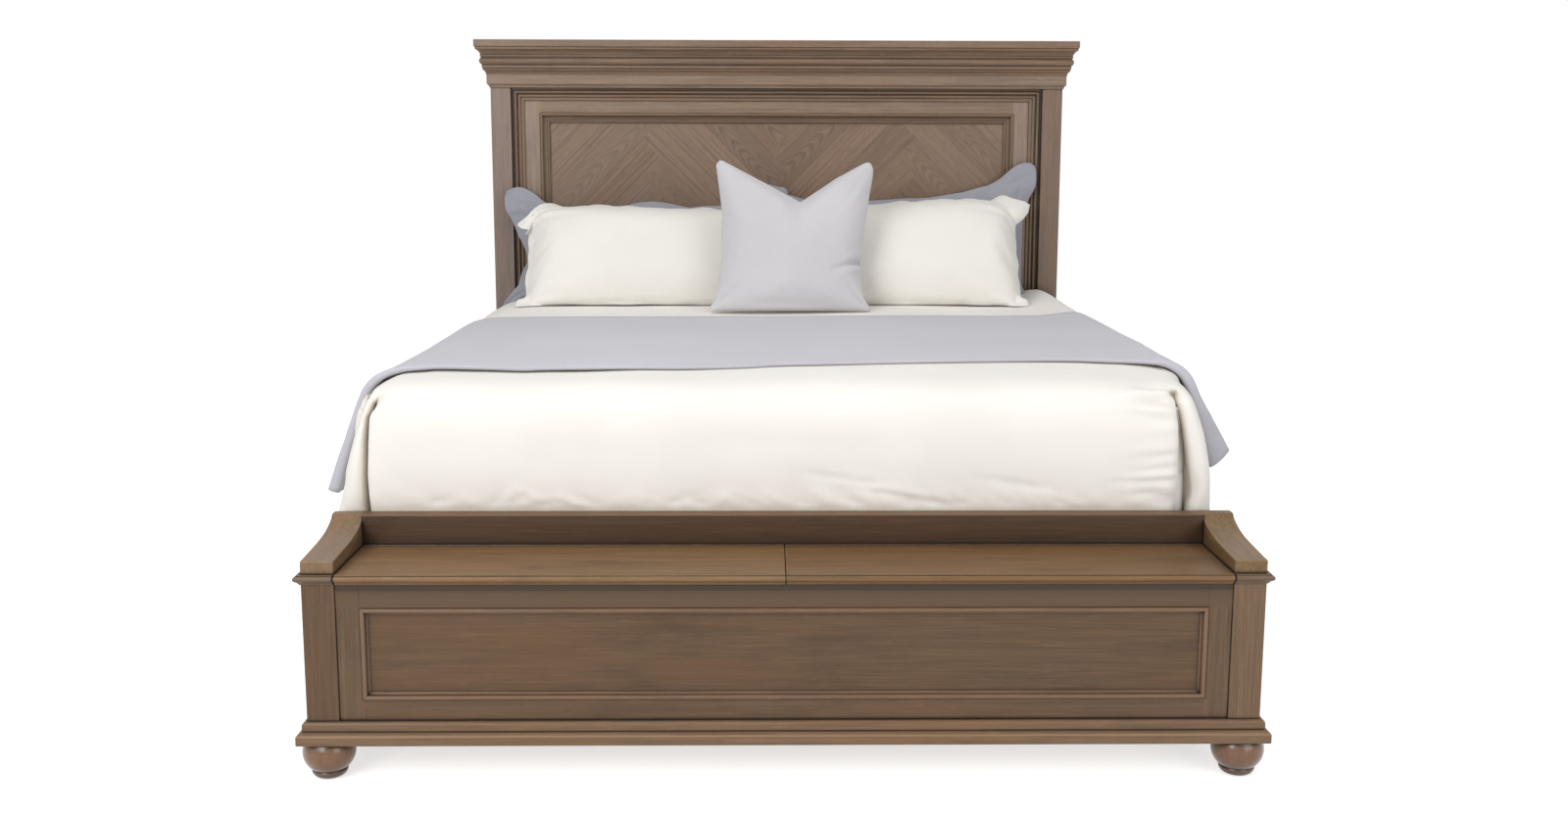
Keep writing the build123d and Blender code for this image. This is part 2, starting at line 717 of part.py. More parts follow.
def chest_panel_bead():
    """Raised bead with a small cove, mitred round the chest's front panel."""
    face, width, rise = PANEL_RECESS, PANEL_BEAD_WIDTH, PANEL_BEAD_RISE
    round_width = 0.69 * width
    with BuildPart() as bead:
        with BuildLine():
            Polyline(
                (0, y_panel, z_top_rail),
                (x_stile, y_panel, z_top_rail),
                (x_stile, y_panel, z_bottom_rail),
                (-x_stile, y_panel, z_bottom_rail),
                (-x_stile, y_panel, z_top_rail),
                close=True,
            )
        with BuildSketch(Plane((0, y_panel, z_top_rail), (0, 0, -1), (1, 0, 0))):
            with BuildLine():
                Line((0, 0), (0, -face))
                ThreePointArc((0, -face), (0.5 * round_width, -face - rise), (round_width, -face))
                Line((round_width, -face), (round_width, -0.7 * face))
                ThreePointArc((round_width, -0.7 * face), (0.78 * width, -0.3 * face), (width, -0.15 * face))
                Polyline((width, -0.15 * face), (width, 0), (0, 0))
            make_face()
        sweep(transition=Transition.RIGHT)
    save(bead, "chest_panel_bead")


def base_moulding():
    """Two-step moulding round the foot of the chest, packed out to the frame between the posts."""
    top, foot = z_base, FOOT_HEIGHT
    upper, out, lip = BASE_UPPER_PROJECTION, BASE_PROJECTION, EASED_EDGE
    fascia = foot + BASE_FASCIA_HEIGHT
    waist = top - BASE_UPPER_HEIGHT
    with BuildPart() as moulding:
        with BuildLine():
            Polyline(
                (-x_post_out, y_bed, 0),
                (-x_post_out, y_chest, 0),
                (x_post_out, y_chest, 0),
                (x_post_out, y_bed, 0),
            )
        with BuildSketch(Plane((-x_post_out, y_bed, 0), (-1, 0, 0), (0, 1, 0))):
            with BuildLine():
                Polyline((0, foot), (0, top), (0.2 * upper, top))
                ThreePointArc((0.2 * upper, top), (0.7 * upper, top - lip), (0.95 * upper, top - 3 * lip))
                Polyline((0.95 * upper, top - 3 * lip), (upper, top - 4 * lip), (upper, waist), (0.84 * upper, waist - 0.7 * lip))
                Line((0.84 * upper, waist - 0.7 * lip), (1.16 * upper, waist - 1.2 * lip))
                ThreePointArc(
                    (1.16 * upper, waist - 1.2 * lip), (out - 2 * lip, fascia + 1.8 * lip), (out - 0.25 * lip, fascia)
                )
                Polyline(
                    (out - 0.25 * lip, fascia), (out, fascia - lip), (out, foot + lip), (out - lip, foot), (0, foot)
                )
            make_face()
        sweep(transition=Transition.RIGHT)
        block((-x_post_in, x_post_in), (y_chest, y_frame), (foot, top))
    save(moulding, "base_moulding")


def backboard():
    """Thick board between the arms, behind the lids."""
    with BuildPart() as board:
        block((-x_post_in, x_post_in), (y_backboard, y_bed), (z_arm_joint, z_backboard))
        ease(board.faces().sort_by(Axis.Z)[-1].edges().filter_by(Axis.X))
    save(board, "backboard")


def chest_box():
    """Back, floor and centre divider of the blanket compartments."""
    with BuildPart() as back:
        block(
            (-x_post_in, x_post_in),
            (y_backboard, y_backboard + CHEST_BACK_THICKNESS),
            (FOOT_HEIGHT, z_arm_joint),
        )
    save(back, "chest_back")
    with BuildPart() as floor:
        z_floor = (z_floor_bottom, z_floor_top)
        block((-x_end_panel, x_end_panel), (y_chest + POST, y_backboard), z_floor)
        block((-x_post_in, x_post_in), (y_frame_back, y_chest + POST), z_floor)
    save(floor, "chest_floor")
    with BuildPart() as divider:
        block(
            (-DIVIDER_THICKNESS / 2, DIVIDER_THICKNESS / 2),
            (y_frame_back, y_backboard),
            (z_floor_top, z_rail_top),
        )
    save(divider, "chest_divider")


def foot_places():
    """Return the centres of the four bun feet."""
    rows = (y_chest + POST / 2, y_bed - REAR_FOOT_INSET)
    return [(side * x_foot, y) for y in rows for side in (-1, 1)]


def bun_feet():
    """Turned feet; the front pair has tenons that enter the posts."""
    tenon_top = FOOT_HEIGHT + FOOT_TENON_LENGTH
    with BuildPart() as feet:
        for x, y in foot_places():
            front = y < y_backboard - POST
            with BuildSketch(Plane((x, y, 0), (1, 0, 0), (0, -1, 0))) as section:
                with BuildLine():
                    Line((0, GLIDE_HEIGHT), (FOOT_TOE_RADIUS, GLIDE_HEIGHT))
                    ThreePointArc(
                        (FOOT_TOE_RADIUS, GLIDE_HEIGHT),
                        (0.2 * FOOT_TOE_RADIUS + 0.8 * FOOT_COLLAR_RADIUS, 0.45 * FOOT_NECK_HEIGHT),
                        (FOOT_COLLAR_RADIUS, 0.86 * FOOT_NECK_HEIGHT),
                    )
                    Polyline(
                        (FOOT_COLLAR_RADIUS, 0.86 * FOOT_NECK_HEIGHT),
                        (0.93 * FOOT_NECK_RADIUS, FOOT_NECK_HEIGHT),
                        (FOOT_NECK_RADIUS, 1.1 * FOOT_NECK_HEIGHT),
                    )
                    ThreePointArc(
                        (FOOT_NECK_RADIUS, 1.1 * FOOT_NECK_HEIGHT),
                        (FOOT_RADIUS, FOOT_BELLY_HEIGHT),
                        (FOOT_TOP_RADIUS, FOOT_HEIGHT),
                    )
                    Polyline((FOOT_TOP_RADIUS, FOOT_HEIGHT), (0, FOOT_HEIGHT), (0, GLIDE_HEIGHT))
                make_face()
            revolve(section.sketch, axis=Axis((x, y, 0), (0, 0, 1)))
            if front:
                with BuildSketch(Plane.XY.offset(FOOT_HEIGHT)) as tenon:
                    with Locations((x, y)):
                        Circle(FOOT_TENON_RADIUS)
                extrude(tenon.sketch, amount=tenon_top - FOOT_HEIGHT)
    save(feet, "bun_feet")


def glides():
    """Floor glides under the bun feet, the headboard posts and the centre legs."""
    x_post = (x_head_in + x_head_out) / 2
    posts = [(side * x_post, (y_head + y_rear) / 2) for side in (-1, 1)]
    legs = [(0, y) for y in leg_places()]
    with BuildPart() as discs:
        with BuildSketch(Plane.XY):
            with Locations(*foot_places(), *posts, *legs):
                Circle(GLIDE_RADIUS)
        extrude(amount=GLIDE_HEIGHT)
    save(discs, "floor_glides")


# ------------------------------------------------------------------ lids, hinges and stays
def lid_span(side):
    """Return the lid's low and high x."""
    return pair(LID_SEAM / 2, x_post_in - LID_END_GAP, side)


def lid(side, name):
    """Lid with its nosing worked on the front edge."""
    low, high = lid_span(side)
    with BuildPart() as board:
        with BuildSketch(Plane((low, y_chest, 0), (0, -1, 0), (-1, 0, 0))):
            with BuildLine():
                nosing(y_lid_rear - y_chest, SEAT_HEIGHT)
            make_face()
        extrude(amount=-(high - low))
    save(board, name)


def knuckle_starts(side):
    """Return where each knuckle of one piano hinge starts along X."""
    low, high = lid_span(side)
    count = int((high - low) // KNUCKLE_PITCH)
    start = (low + high - count * KNUCKLE_PITCH) / 2
    return [start + index * KNUCKLE_PITCH for index in range(count)]


def hinge_leaf(side, fixed):
    """Build one leaf: fixed stands on the backboard's face and the other on the lid's rear edge."""
    starts = knuckle_starts(side)
    first, last = starts[0], starts[-1] + KNUCKLE_PITCH
    toward = 1 if fixed else -1
    y_leaf = sorted((toward * (LEAF_SPREAD - LEAF_THICKNESS), toward * LEAF_SPREAD))
    neck = KNUCKLE_RADIUS + LEAF_THICKNESS / 2
    bore = HINGE_PIN_RADIUS + HINGE_PIN_CLEARANCE
    own = starts[0 if fixed else 1 :: 2]
    block(
        (first, last),
        (y_hinge + y_leaf[0], y_hinge + y_leaf[1]),
        (z_hinge - LEAF_HEIGHT, z_hinge - neck),
    )
    planes = [Plane((x + KNUCKLE_GAP / 2, y_hinge, z_hinge), (0, 1, 0), (1, 0, 0)) for x in own]
    with BuildSketch(*planes) as knuckle:
        Circle(KNUCKLE_RADIUS)
        with Locations(((y_leaf[0] + y_leaf[1]) / 2, -neck / 2)):
            Rectangle(LEAF_THICKNESS, neck)
        with Locations((toward * (LEAF_SPREAD - LEAF_THICKNESS) / 2, -KNUCKLE_RADIUS / 2 - bore / 2)):
            Rectangle(LEAF_SPREAD - LEAF_THICKNESS, KNUCKLE_RADIUS - bore)
        Circle(bore, mode=Mode.SUBTRACT)
    extrude(knuckle.sketch, amount=KNUCKLE_PITCH - KNUCKLE_GAP)


def piano_hinges():
    """Fixed leaves, lid leaves and pins of the two piano hinges."""
    with BuildPart() as fixed_leaves:
        for side in (-1, 1):
            hinge_leaf(side, True)
    save(fixed_leaves, "hinge_leaves_fixed")
    with BuildPart() as left_leaf:
        hinge_leaf(-1, False)
    save(left_leaf, "hinge_leaf_lid_left")
    with BuildPart() as right_leaf:
        hinge_leaf(1, False)
    save(right_leaf, "hinge_leaf_lid_right")
    with BuildPart() as pins:
        for side in (-1, 1):
            starts = knuckle_starts(side)
            first, last = starts[0], starts[-1] + KNUCKLE_PITCH
            bar((first, y_hinge, z_hinge), (last, y_hinge, z_hinge), HINGE_PIN_RADIUS)
    save(pins, "hinge_pins")


def stay_points():
    """Return (y, z) of the stay's pivots: on the lid, on the chest's back and at the elbow."""
    on_lid = (y_hinge - STAY_REACH, z_hinge - STAY_HANG)
    on_back = (y_hinge - STAY_LINK_LEAN, z_hinge - STAY_LINK_HEIGHT)
    elbow = (on_lid[0] - STAY_LINK_LEAN, on_lid[1] - STAY_LINK_HEIGHT)
    return on_lid, on_back, elbow


def stay_layers():
    """Return the near x of the bracket's ear, the arm, the link and the lid bracket's ear."""
    ear = x_post_in - STAY_INSET - STAY_PLATE_THICKNESS
    stay_arm = ear + STAY_PLATE_THICKNESS + STAY_LAYER_GAP
    link = stay_arm + STAY_THICKNESS + STAY_LAYER_GAP
    lid_ear = link + STAY_THICKNESS + STAY_LAYER_GAP
    return ear, stay_arm, link, lid_ear


def stay_bar(side, near, start, end):
    """Add a flat bar with round ends between two pivots, at one layer of the stay."""
    run = Vector(end[0] - start[0], end[1] - start[1])
    middle = ((start[0] + end[0]) / 2, (start[1] + end[1]) / 2)
    with BuildSketch(Plane((side * near, 0, 0), (0, 1, 0), (1, 0, 0))) as outline:
        with Locations(Location(middle, degrees(atan2(run.Y, run.X)))):
            SlotCenterToCenter(run.length, STAY_WIDTH)
    extrude(outline.sketch, amount=side * STAY_THICKNESS)


def pivot(side, near, far, place, radius, mode=Mode.ADD):
    """Add a pin, or cut a hole, along X at a pivot (y, z)."""
    bar((side * near, *place), (side * far, *place), radius, mode)


def lid_stay(side, word):
    """Parallel stay: an arm that turns with the lid and a link that keeps upright."""
    on_lid, on_back, elbow = stay_points()
    ear, arm_near, link_near, lid_ear = stay_layers()
    arm_far, link_far = arm_near + STAY_THICKNESS, link_near + STAY_THICKNESS
    hole = STAY_PIN_RADIUS + STAY_PIN_CLEARANCE
    with BuildPart() as stay_arm:
        stay_bar(side, arm_near, on_back, elbow)
        pivot(side, arm_near, arm_far, on_back, hole, Mode.SUBTRACT)
        pivot(side, arm_far, link_far + STAY_LAYER_GAP, elbow, STAY_PIN_RADIUS)
        pivot(side, link_far + STAY_LAYER_GAP, link_far + STAY_LAYER_GAP + STAY_HEAD_THICKNESS, elbow, STAY_HEAD_RADIUS)
    save(stay_arm, f"stay_arm_{word}")
    with BuildPart() as link:
        stay_bar(side, link_near, on_lid, elbow)
        pivot(side, link_near, link_far, on_lid, hole, Mode.SUBTRACT)
        pivot(side, link_near, link_far, elbow, hole, Mode.SUBTRACT)
    save(link, f"stay_link_{word}")
    with BuildPart() as bracket:
        half = STAY_WIDTH / 2
        block(
            pair(lid_ear, lid_ear + STAY_PLATE_WIDTH, side),
            (on_lid[0] - STAY_PLATE_LENGTH / 2, on_lid[0] + STAY_PLATE_LENGTH / 2),
            (z_lid_bottom - STAY_PLATE_THICKNESS, z_lid_bottom),
        )
        block(
            pair(lid_ear, lid_ear + STAY_PLATE_THICKNESS, side),
            (on_lid[0] - half, on_lid[0] + half),
            (on_lid[1] - half, z_lid_bottom),
        )
        pivot(side, link_near - STAY_LAYER_GAP / 2, lid_ear, on_lid, STAY_PIN_RADIUS)
        head = link_near - STAY_LAYER_GAP / 2
        pivot(side, head - STAY_HEAD_THICKNESS, head, on_lid, STAY_HEAD_RADIUS)
    save(bracket, f"stay_lid_bracket_{word}")


def stay_brackets():
    """Angle brackets on the chest's back that carry the stay arms."""
    _, on_back, _ = stay_points()
    ear, arm_near, _, _ = stay_layers()
    half = STAY_WIDTH / 2
    with BuildPart() as brackets:
        for side in (-1, 1):
            block(
                pair(ear + STAY_PLATE_THICKNESS - STAY_PLATE_WIDTH, ear + STAY_PLATE_THICKNESS, side),
                (y_backboard - STAY_PLATE_THICKNESS, y_backboard),
                (on_back[1] - STAY_PLATE_LENGTH / 2, on_back[1] + STAY_PLATE_LENGTH / 2),
            )
            block(
                pair(ear, ear + STAY_PLATE_THICKNESS, side),
                (on_back[0] - half, y_backboard),
                (on_back[1] - half, on_back[1] + half),
            )
            tip = arm_near + STAY_THICKNESS + STAY_LAYER_GAP / 2
            pivot(side, ear + STAY_PLATE_THICKNESS, tip, on_back, STAY_PIN_RADIUS)
            pivot(side, tip, tip + STAY_HEAD_THICKNESS, on_back, STAY_HEAD_RADIUS)
    save(brackets, "stay_brackets")


# ------------------------------------------------------------------ mattress and bedding
def mattress_block(low, high, edge, skin, name):
    """Rounded upholstered block of the mattress's plan, closed round the space for its springs."""
    y_mid = y_mattress + MATTRESS_LENGTH / 2
    with BuildPart() as pad:
        with BuildSketch(Plane.XY.offset(low)):
            with Locations((0, y_mid)):
                RectangleRounded(MATTRESS_WIDTH, MATTRESS_LENGTH, MATTRESS_CORNER)
        extrude(amount=high - low)
        ease(pad.faces().sort_by(Axis.Z)[0].edges() + pad.faces().sort_by(Axis.Z)[-1].edges(), edge)
        block(
            (skin - x_mattress, x_mattress - skin),
            (y_mattress + skin, y_mattress + MATTRESS_LENGTH - skin),
            (low + skin, high - skin),
            Mode.SUBTRACT,
        )
    save(pad, name)


def bedding_section(half_outline):
    """Draw a closed outline from its right half, mirrored to the left."""
    left = [(-x, z) for x, z in reversed(half_outline)]
    Polyline(*half_outline, *left, close=True)


def duvet_outline():
    """Return the right half of the duvet's outer section, from the hem up."""
    drop, shoulder = DUVET_DROP, DUVET_SHOULDER
    return [
        (x_duvet, z_duvet_hem),
        (x_duvet - 0.06 * shoulder, z_duvet_hem + 0.25 * drop),
        (x_duvet - 0.15 * shoulder, z_duvet_hem + 0.48 * drop),
        (x_duvet - 0.30 * shoulder, z_duvet_hem + 0.72 * drop),
        (x_duvet - 0.51 * shoulder, z_duvet_hem + 0.89 * drop),
        (x_duvet - 0.76 * shoulder, z_duvet_hem + 0.98 * drop),
        (x_duvet - shoulder, z_duvet),
    ]


def duvet():
    """Duvet over the mattress, hanging at both sides and tucked in behind the backboard."""
    inner_half = x_mattress + SOFT_CLEARANCE
    inner_top = z_mattress + SOFT_CLEARANCE
    inner = [
        (x_duvet - DUVET_HEM_THICKNESS, z_duvet_hem),
        (inner_half + 0.1 * DUVET_STANDOFF, z_mattress - 0.25 * DUVET_DROP),
        (inner_half, inner_top),
    ]
    y_inner = y_mattress - SOFT_CLEARANCE
    y_tuck = y_bed + SOFT_CLEARANCE
    y_side = y_tuck + DUVET_SIDE_GAP
    z_tuck = z_backboard - DUVET_FOOT_TUCK
    with BuildPart() as cover:
        with BuildSketch(Plane((0, y_side, 0), (1, 0, 0), (0, -1, 0))) as section:
            with BuildLine():
                bedding_section(duvet_outline())
            make_face()
            with BuildLine():
                bedding_section(inner)
            make_face(mode=Mode.SUBTRACT)
        extrude(section.sketch, amount=-(y_head - HEAD_GAP - y_side))
        with BuildSketch(Plane((-(x_mattress - DUVET_FOOT_INSET), 0, 0), (0, 1, 0), (1, 0, 0))) as flap:
            with BuildLine():
                Polyline(
                    (y_inner, z_tuck),
                    (y_tuck, z_tuck),
                    (y_tuck, z_backboard + 0.15 * DUVET_FOOT_TUCK),
                    (y_bed - 0.7 * DUVET_BULGE, z_backboard + 0.9 * DUVET_FOOT_TUCK),
                    (y_bed - DUVET_BULGE, z_duvet - 0.5 * (z_duvet - z_backboard)),
                    (y_bed - 0.4 * DUVET_BULGE, z_duvet - DUVET_THICKNESS),
                    (y_side + 0.3 * FOOT_GAP, z_duvet - 0.27 * DUVET_THICKNESS),
                    (y_inner + 0.5 * FOOT_GAP, z_duvet - 0.27 * DUVET_THICKNESS),
                    (y_inner, inner_top + 0.1 * DUVET_THICKNESS),
                    close=True,
                )
            make_face()
        extrude(flap.sketch, amount=2 * (x_mattress - DUVET_FOOT_INSET))
    save(cover, "duvet")


def throw_blanket():
    """Folded blanket laid across the duvet, hanging at both sides."""
    gap, reach = SOFT_CLEARANCE, SOFT_CLEARANCE + THROW_THICKNESS
    (x_low, z_low), (x_next, z_next) = duvet_outline()[:2]
    x_hem = x_low + (x_next - x_low) * (z_throw_hem - z_low) / (z_next - z_low)
    inner = [(x_hem + gap, z_throw_hem)] + [(x + gap, z + gap) for x, z in duvet_outline()[1:]]
    outer = [(x_duvet + THROW_FLARE, z_throw_hem)] + [(x + reach, z + reach) for x, z in duvet_outline()[1:]]
    y_front = y_mattress + THROW_FROM_FOOT
    with BuildPart() as blanket:
        with BuildSketch(Plane((0, y_front, 0), (1, 0, 0), (0, -1, 0))) as section:
            with BuildLine():
                bedding_section(outer)
            make_face()
            with BuildLine():
                bedding_section(inner)
            make_face(mode=Mode.SUBTRACT)
        extrude(section.sketch, amount=-THROW_WIDTH)
    save(blanket, "throw_blanket")


def pillow(width, height, thickness, x_mid, seat, lean, name):
    """Pillow that leans towards the headboard: full in the middle, thin at its seams, flat where it rests."""
    rise = (0, cos(radians(lean)), sin(radians(lean)))
    out = (0, -sin(radians(lean)), cos(radians(lean)))
    y_seat = y_head - seat
    z_seat = z_duvet
    half_w, half_t = width / 2, thickness / 2
    with BuildPart() as pad:
        with BuildSketch(Plane((x_mid - half_w, y_seat, z_seat), rise, (1, 0, 0))) as side_lens:
            with BuildLine():
                ThreePointArc((0, 0), (height / 2, half_t), (height, 0))
                ThreePointArc((height, 0), (height / 2, -half_t), (0, 0))
            make_face()
        extrude(side_lens.sketch, amount=width)
        with BuildSketch(Plane((x_mid, y_seat, z_seat), (1, 0, 0), rise)) as top_lens:
            with BuildLine():
                ThreePointArc((-half_w, 0), (0, half_t), (half_w, 0))
                ThreePointArc((half_w, 0), (0, -half_t), (-half_w, 0))
            make_face()
        extrude(top_lens.sketch, amount=height, mode=Mode.INTERSECT)
        split(bisect_by=Plane.XY.offset(z_duvet + SOFT_CLEARANCE / 2), keep=Keep.TOP)
    save(pad, name)


def bedding():
    """Foundation, mattress, duvet, throw, shams, pillows and cushion."""
    mattress_block(SLAT_HEIGHT, z_foundation, FOUNDATION_EDGE, FOUNDATION_SKIN, "foundation")
    mattress_block(z_foundation, z_mattress, MATTRESS_EDGE, MATTRESS_SKIN, "mattress")
    duvet()
    throw_blanket()
    for side, word in ((-1, "left"), (1, "right")):
        x_sham = side * (SHAM_WIDTH + SHAM_SPACING) / 2
        pillow(SHAM_WIDTH, SHAM_HEIGHT, SHAM_THICKNESS, x_sham, SHAM_SEAT, SHAM_ANGLE, f"sham_{word}")
        x_pillow = side * (PILLOW_WIDTH + PILLOW_SPACING) / 2
        pillow(PILLOW_WIDTH, PILLOW_HEIGHT, PILLOW_THICKNESS, x_pillow, PILLOW_SEAT, PILLOW_ANGLE, f"pillow_{word}")
    pillow(
        CUSHION_WIDTH, CUSHION_HEIGHT, CUSHION_THICKNESS, CUSHION_OFFSET, CUSHION_SEAT, CUSHION_ANGLE, "accent_cushion"
    )


# ------------------------------------------------------------------ the bed
headboard_post(-1, "headboard_post_left")
headboard_post(1, "headboard_post_right")
headboard_stiles()
headboard_rails()
headboard_panels()
headboard_frame_moulding()
headboard_panel_moulding()
frieze()
crown_moulding()
crown_board()
side_rail(-1, "side_rail_left")
side_rail(1, "side_rail_right")
rail_fasteners()
slat_support()
chest_post(-1, "chest_post_left")
chest_post(1, "chest_post_right")
chest_rear_posts()
chest_end_panels()
arm(-1, "arm_left")
arm(1, "arm_right")
arm_mouldings()
chest_front_frame()
chest_panel_bead()
base_moulding()
backboard()
chest_box()
bun_feet()
glides()
lid(-1, "lid_left")
lid(1, "lid_right")
piano_hinges()
stay_brackets()
lid_stay(-1, "left")
lid_stay(1, "right")
bedding()
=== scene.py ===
"""A bed whose footboard is a lidded blanket chest: its finishes, bedding, light and camera."""

import json
import logging
import math
from collections.abc import Callable, Sequence
from dataclasses import dataclass
from enum import Enum
from typing import Any

import bmesh
import bpy
import numpy as np
from mathutils import Matrix, Vector, noise

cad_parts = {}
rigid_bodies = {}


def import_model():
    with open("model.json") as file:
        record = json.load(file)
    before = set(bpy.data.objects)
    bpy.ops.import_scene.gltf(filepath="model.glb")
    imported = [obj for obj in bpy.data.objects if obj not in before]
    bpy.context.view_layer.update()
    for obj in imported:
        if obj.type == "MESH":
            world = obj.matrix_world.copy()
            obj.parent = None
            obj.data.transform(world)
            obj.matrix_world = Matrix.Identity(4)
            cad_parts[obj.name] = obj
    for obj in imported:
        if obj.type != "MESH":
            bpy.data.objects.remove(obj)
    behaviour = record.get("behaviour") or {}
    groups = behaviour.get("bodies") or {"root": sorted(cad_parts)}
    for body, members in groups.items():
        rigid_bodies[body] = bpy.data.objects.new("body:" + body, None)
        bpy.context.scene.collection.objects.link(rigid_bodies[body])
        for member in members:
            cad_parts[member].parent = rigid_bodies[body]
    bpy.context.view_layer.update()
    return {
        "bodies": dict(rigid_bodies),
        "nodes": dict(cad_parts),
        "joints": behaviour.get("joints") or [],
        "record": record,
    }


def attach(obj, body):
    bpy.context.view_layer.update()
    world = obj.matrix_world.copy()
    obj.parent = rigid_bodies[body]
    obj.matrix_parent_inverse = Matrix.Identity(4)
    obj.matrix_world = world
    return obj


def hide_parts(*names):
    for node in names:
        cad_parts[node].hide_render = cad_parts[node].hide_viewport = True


LOG = logging.getLogger("chest_bed")
Colour = tuple[float, float, float, float]
Point = tuple[float, float, float]
Points = tuple[tuple[float, float], ...]
Places = float | np.ndarray


def rgb(red: float, green: float, blue: float) -> Colour:
    """Return an opaque colour in linear light."""
    return (red, green, blue, 1.0)


def tinted(colour: Colour, *factors: float) -> Colour:
    """Return a colour with all its channels, or each of the three, made lighter or darker by a factor."""
    each = factors if len(factors) == 3 else factors * 3
    return rgb(*(channel * factor for channel, factor in zip(colour, each)))


def ramp(value: float, low: float, high: float) -> float:
    """Ease from 0 at low to 1 at high.

    Args:
        value: where to read the ramp.
        low: where it leaves 0.
        high: where it reaches 1; it may be below low.

    Returns:
        The eased share, from 0 to 1.
    """
    share = min(1.0, max(0.0, (value - low) / (high - low)))
    return share * share * (3 - 2 * share)


# ---------------------------------------------------------------- shader maths


def operator(operation: str, flipped: bool = False) -> Callable[..., "Signal"]:
    """Return a method of Signal that adds one Math node.

    Args:
        operation: Blender's name of the operation.
        flipped: whether the other value comes first.

    Returns:
        The method.
    """

    def method(signal: "Signal", *others: "Signal | float") -> "Signal":
        """Apply the operation to a signal and, if it takes one, another value."""
        values = (*others, signal) if flipped else (signal, *others)
        return signal.graph.add("ShaderNodeMath", {"operation": operation}, dict(enumerate(values)))

    return method


class Signal:
    """A node's output that takes Python arithmetic."""

    def __init__(self, graph: "Graph", socket: bpy.types.NodeSocket) -> None:
        """Wrap one socket of a graph."""
        self.graph = graph
        self.socket = socket

    __add__ = __radd__ = operator("ADD")
    __sub__ = operator("SUBTRACT")
    __rsub__ = operator("SUBTRACT", flipped=True)
    __mul__ = __rmul__ = operator("MULTIPLY")
    __truediv__ = operator("DIVIDE")
    __gt__ = operator("GREATER_THAN")
    __abs__ = operator("ABSOLUTE")
    floor = operator("FLOOR")
    fract = operator("FRACT")
    sine = operator("SINE")
    most = operator("MAXIMUM")

    def held(self) -> "Signal":
        """Hold between 0 and 1."""
        return self.graph.add("ShaderNodeMath", {"operation": "ADD", "use_clamp": True}, {0: self, 1: 0.0})

    def pick(self, zero: "Signal | float", one: "Signal | float") -> "Signal":
        """Mix two numbers, with this as the share of the second."""
        return zero + self * (one - zero)

    def eased(self, low: float, high: float) -> "Signal":
        """Ease from 0 to 1 between two readings.

        Args:
            low: the reading where it leaves 0.
            high: the reading where it reaches 1; it may be below low.

        Returns:
            The eased number.
        """
        ends = {"From Min": low, "From Max": high, "To Min": 0.0, "To Max": 1.0}
        if low > high:
            ends = {"From Min": high, "From Max": low, "To Min": 1.0, "To Max": 0.0}
        settings = {"interpolation_type": "SMOOTHSTEP"}
        return self.graph.add("ShaderNodeMapRange", settings, {"Value": self, **ends})


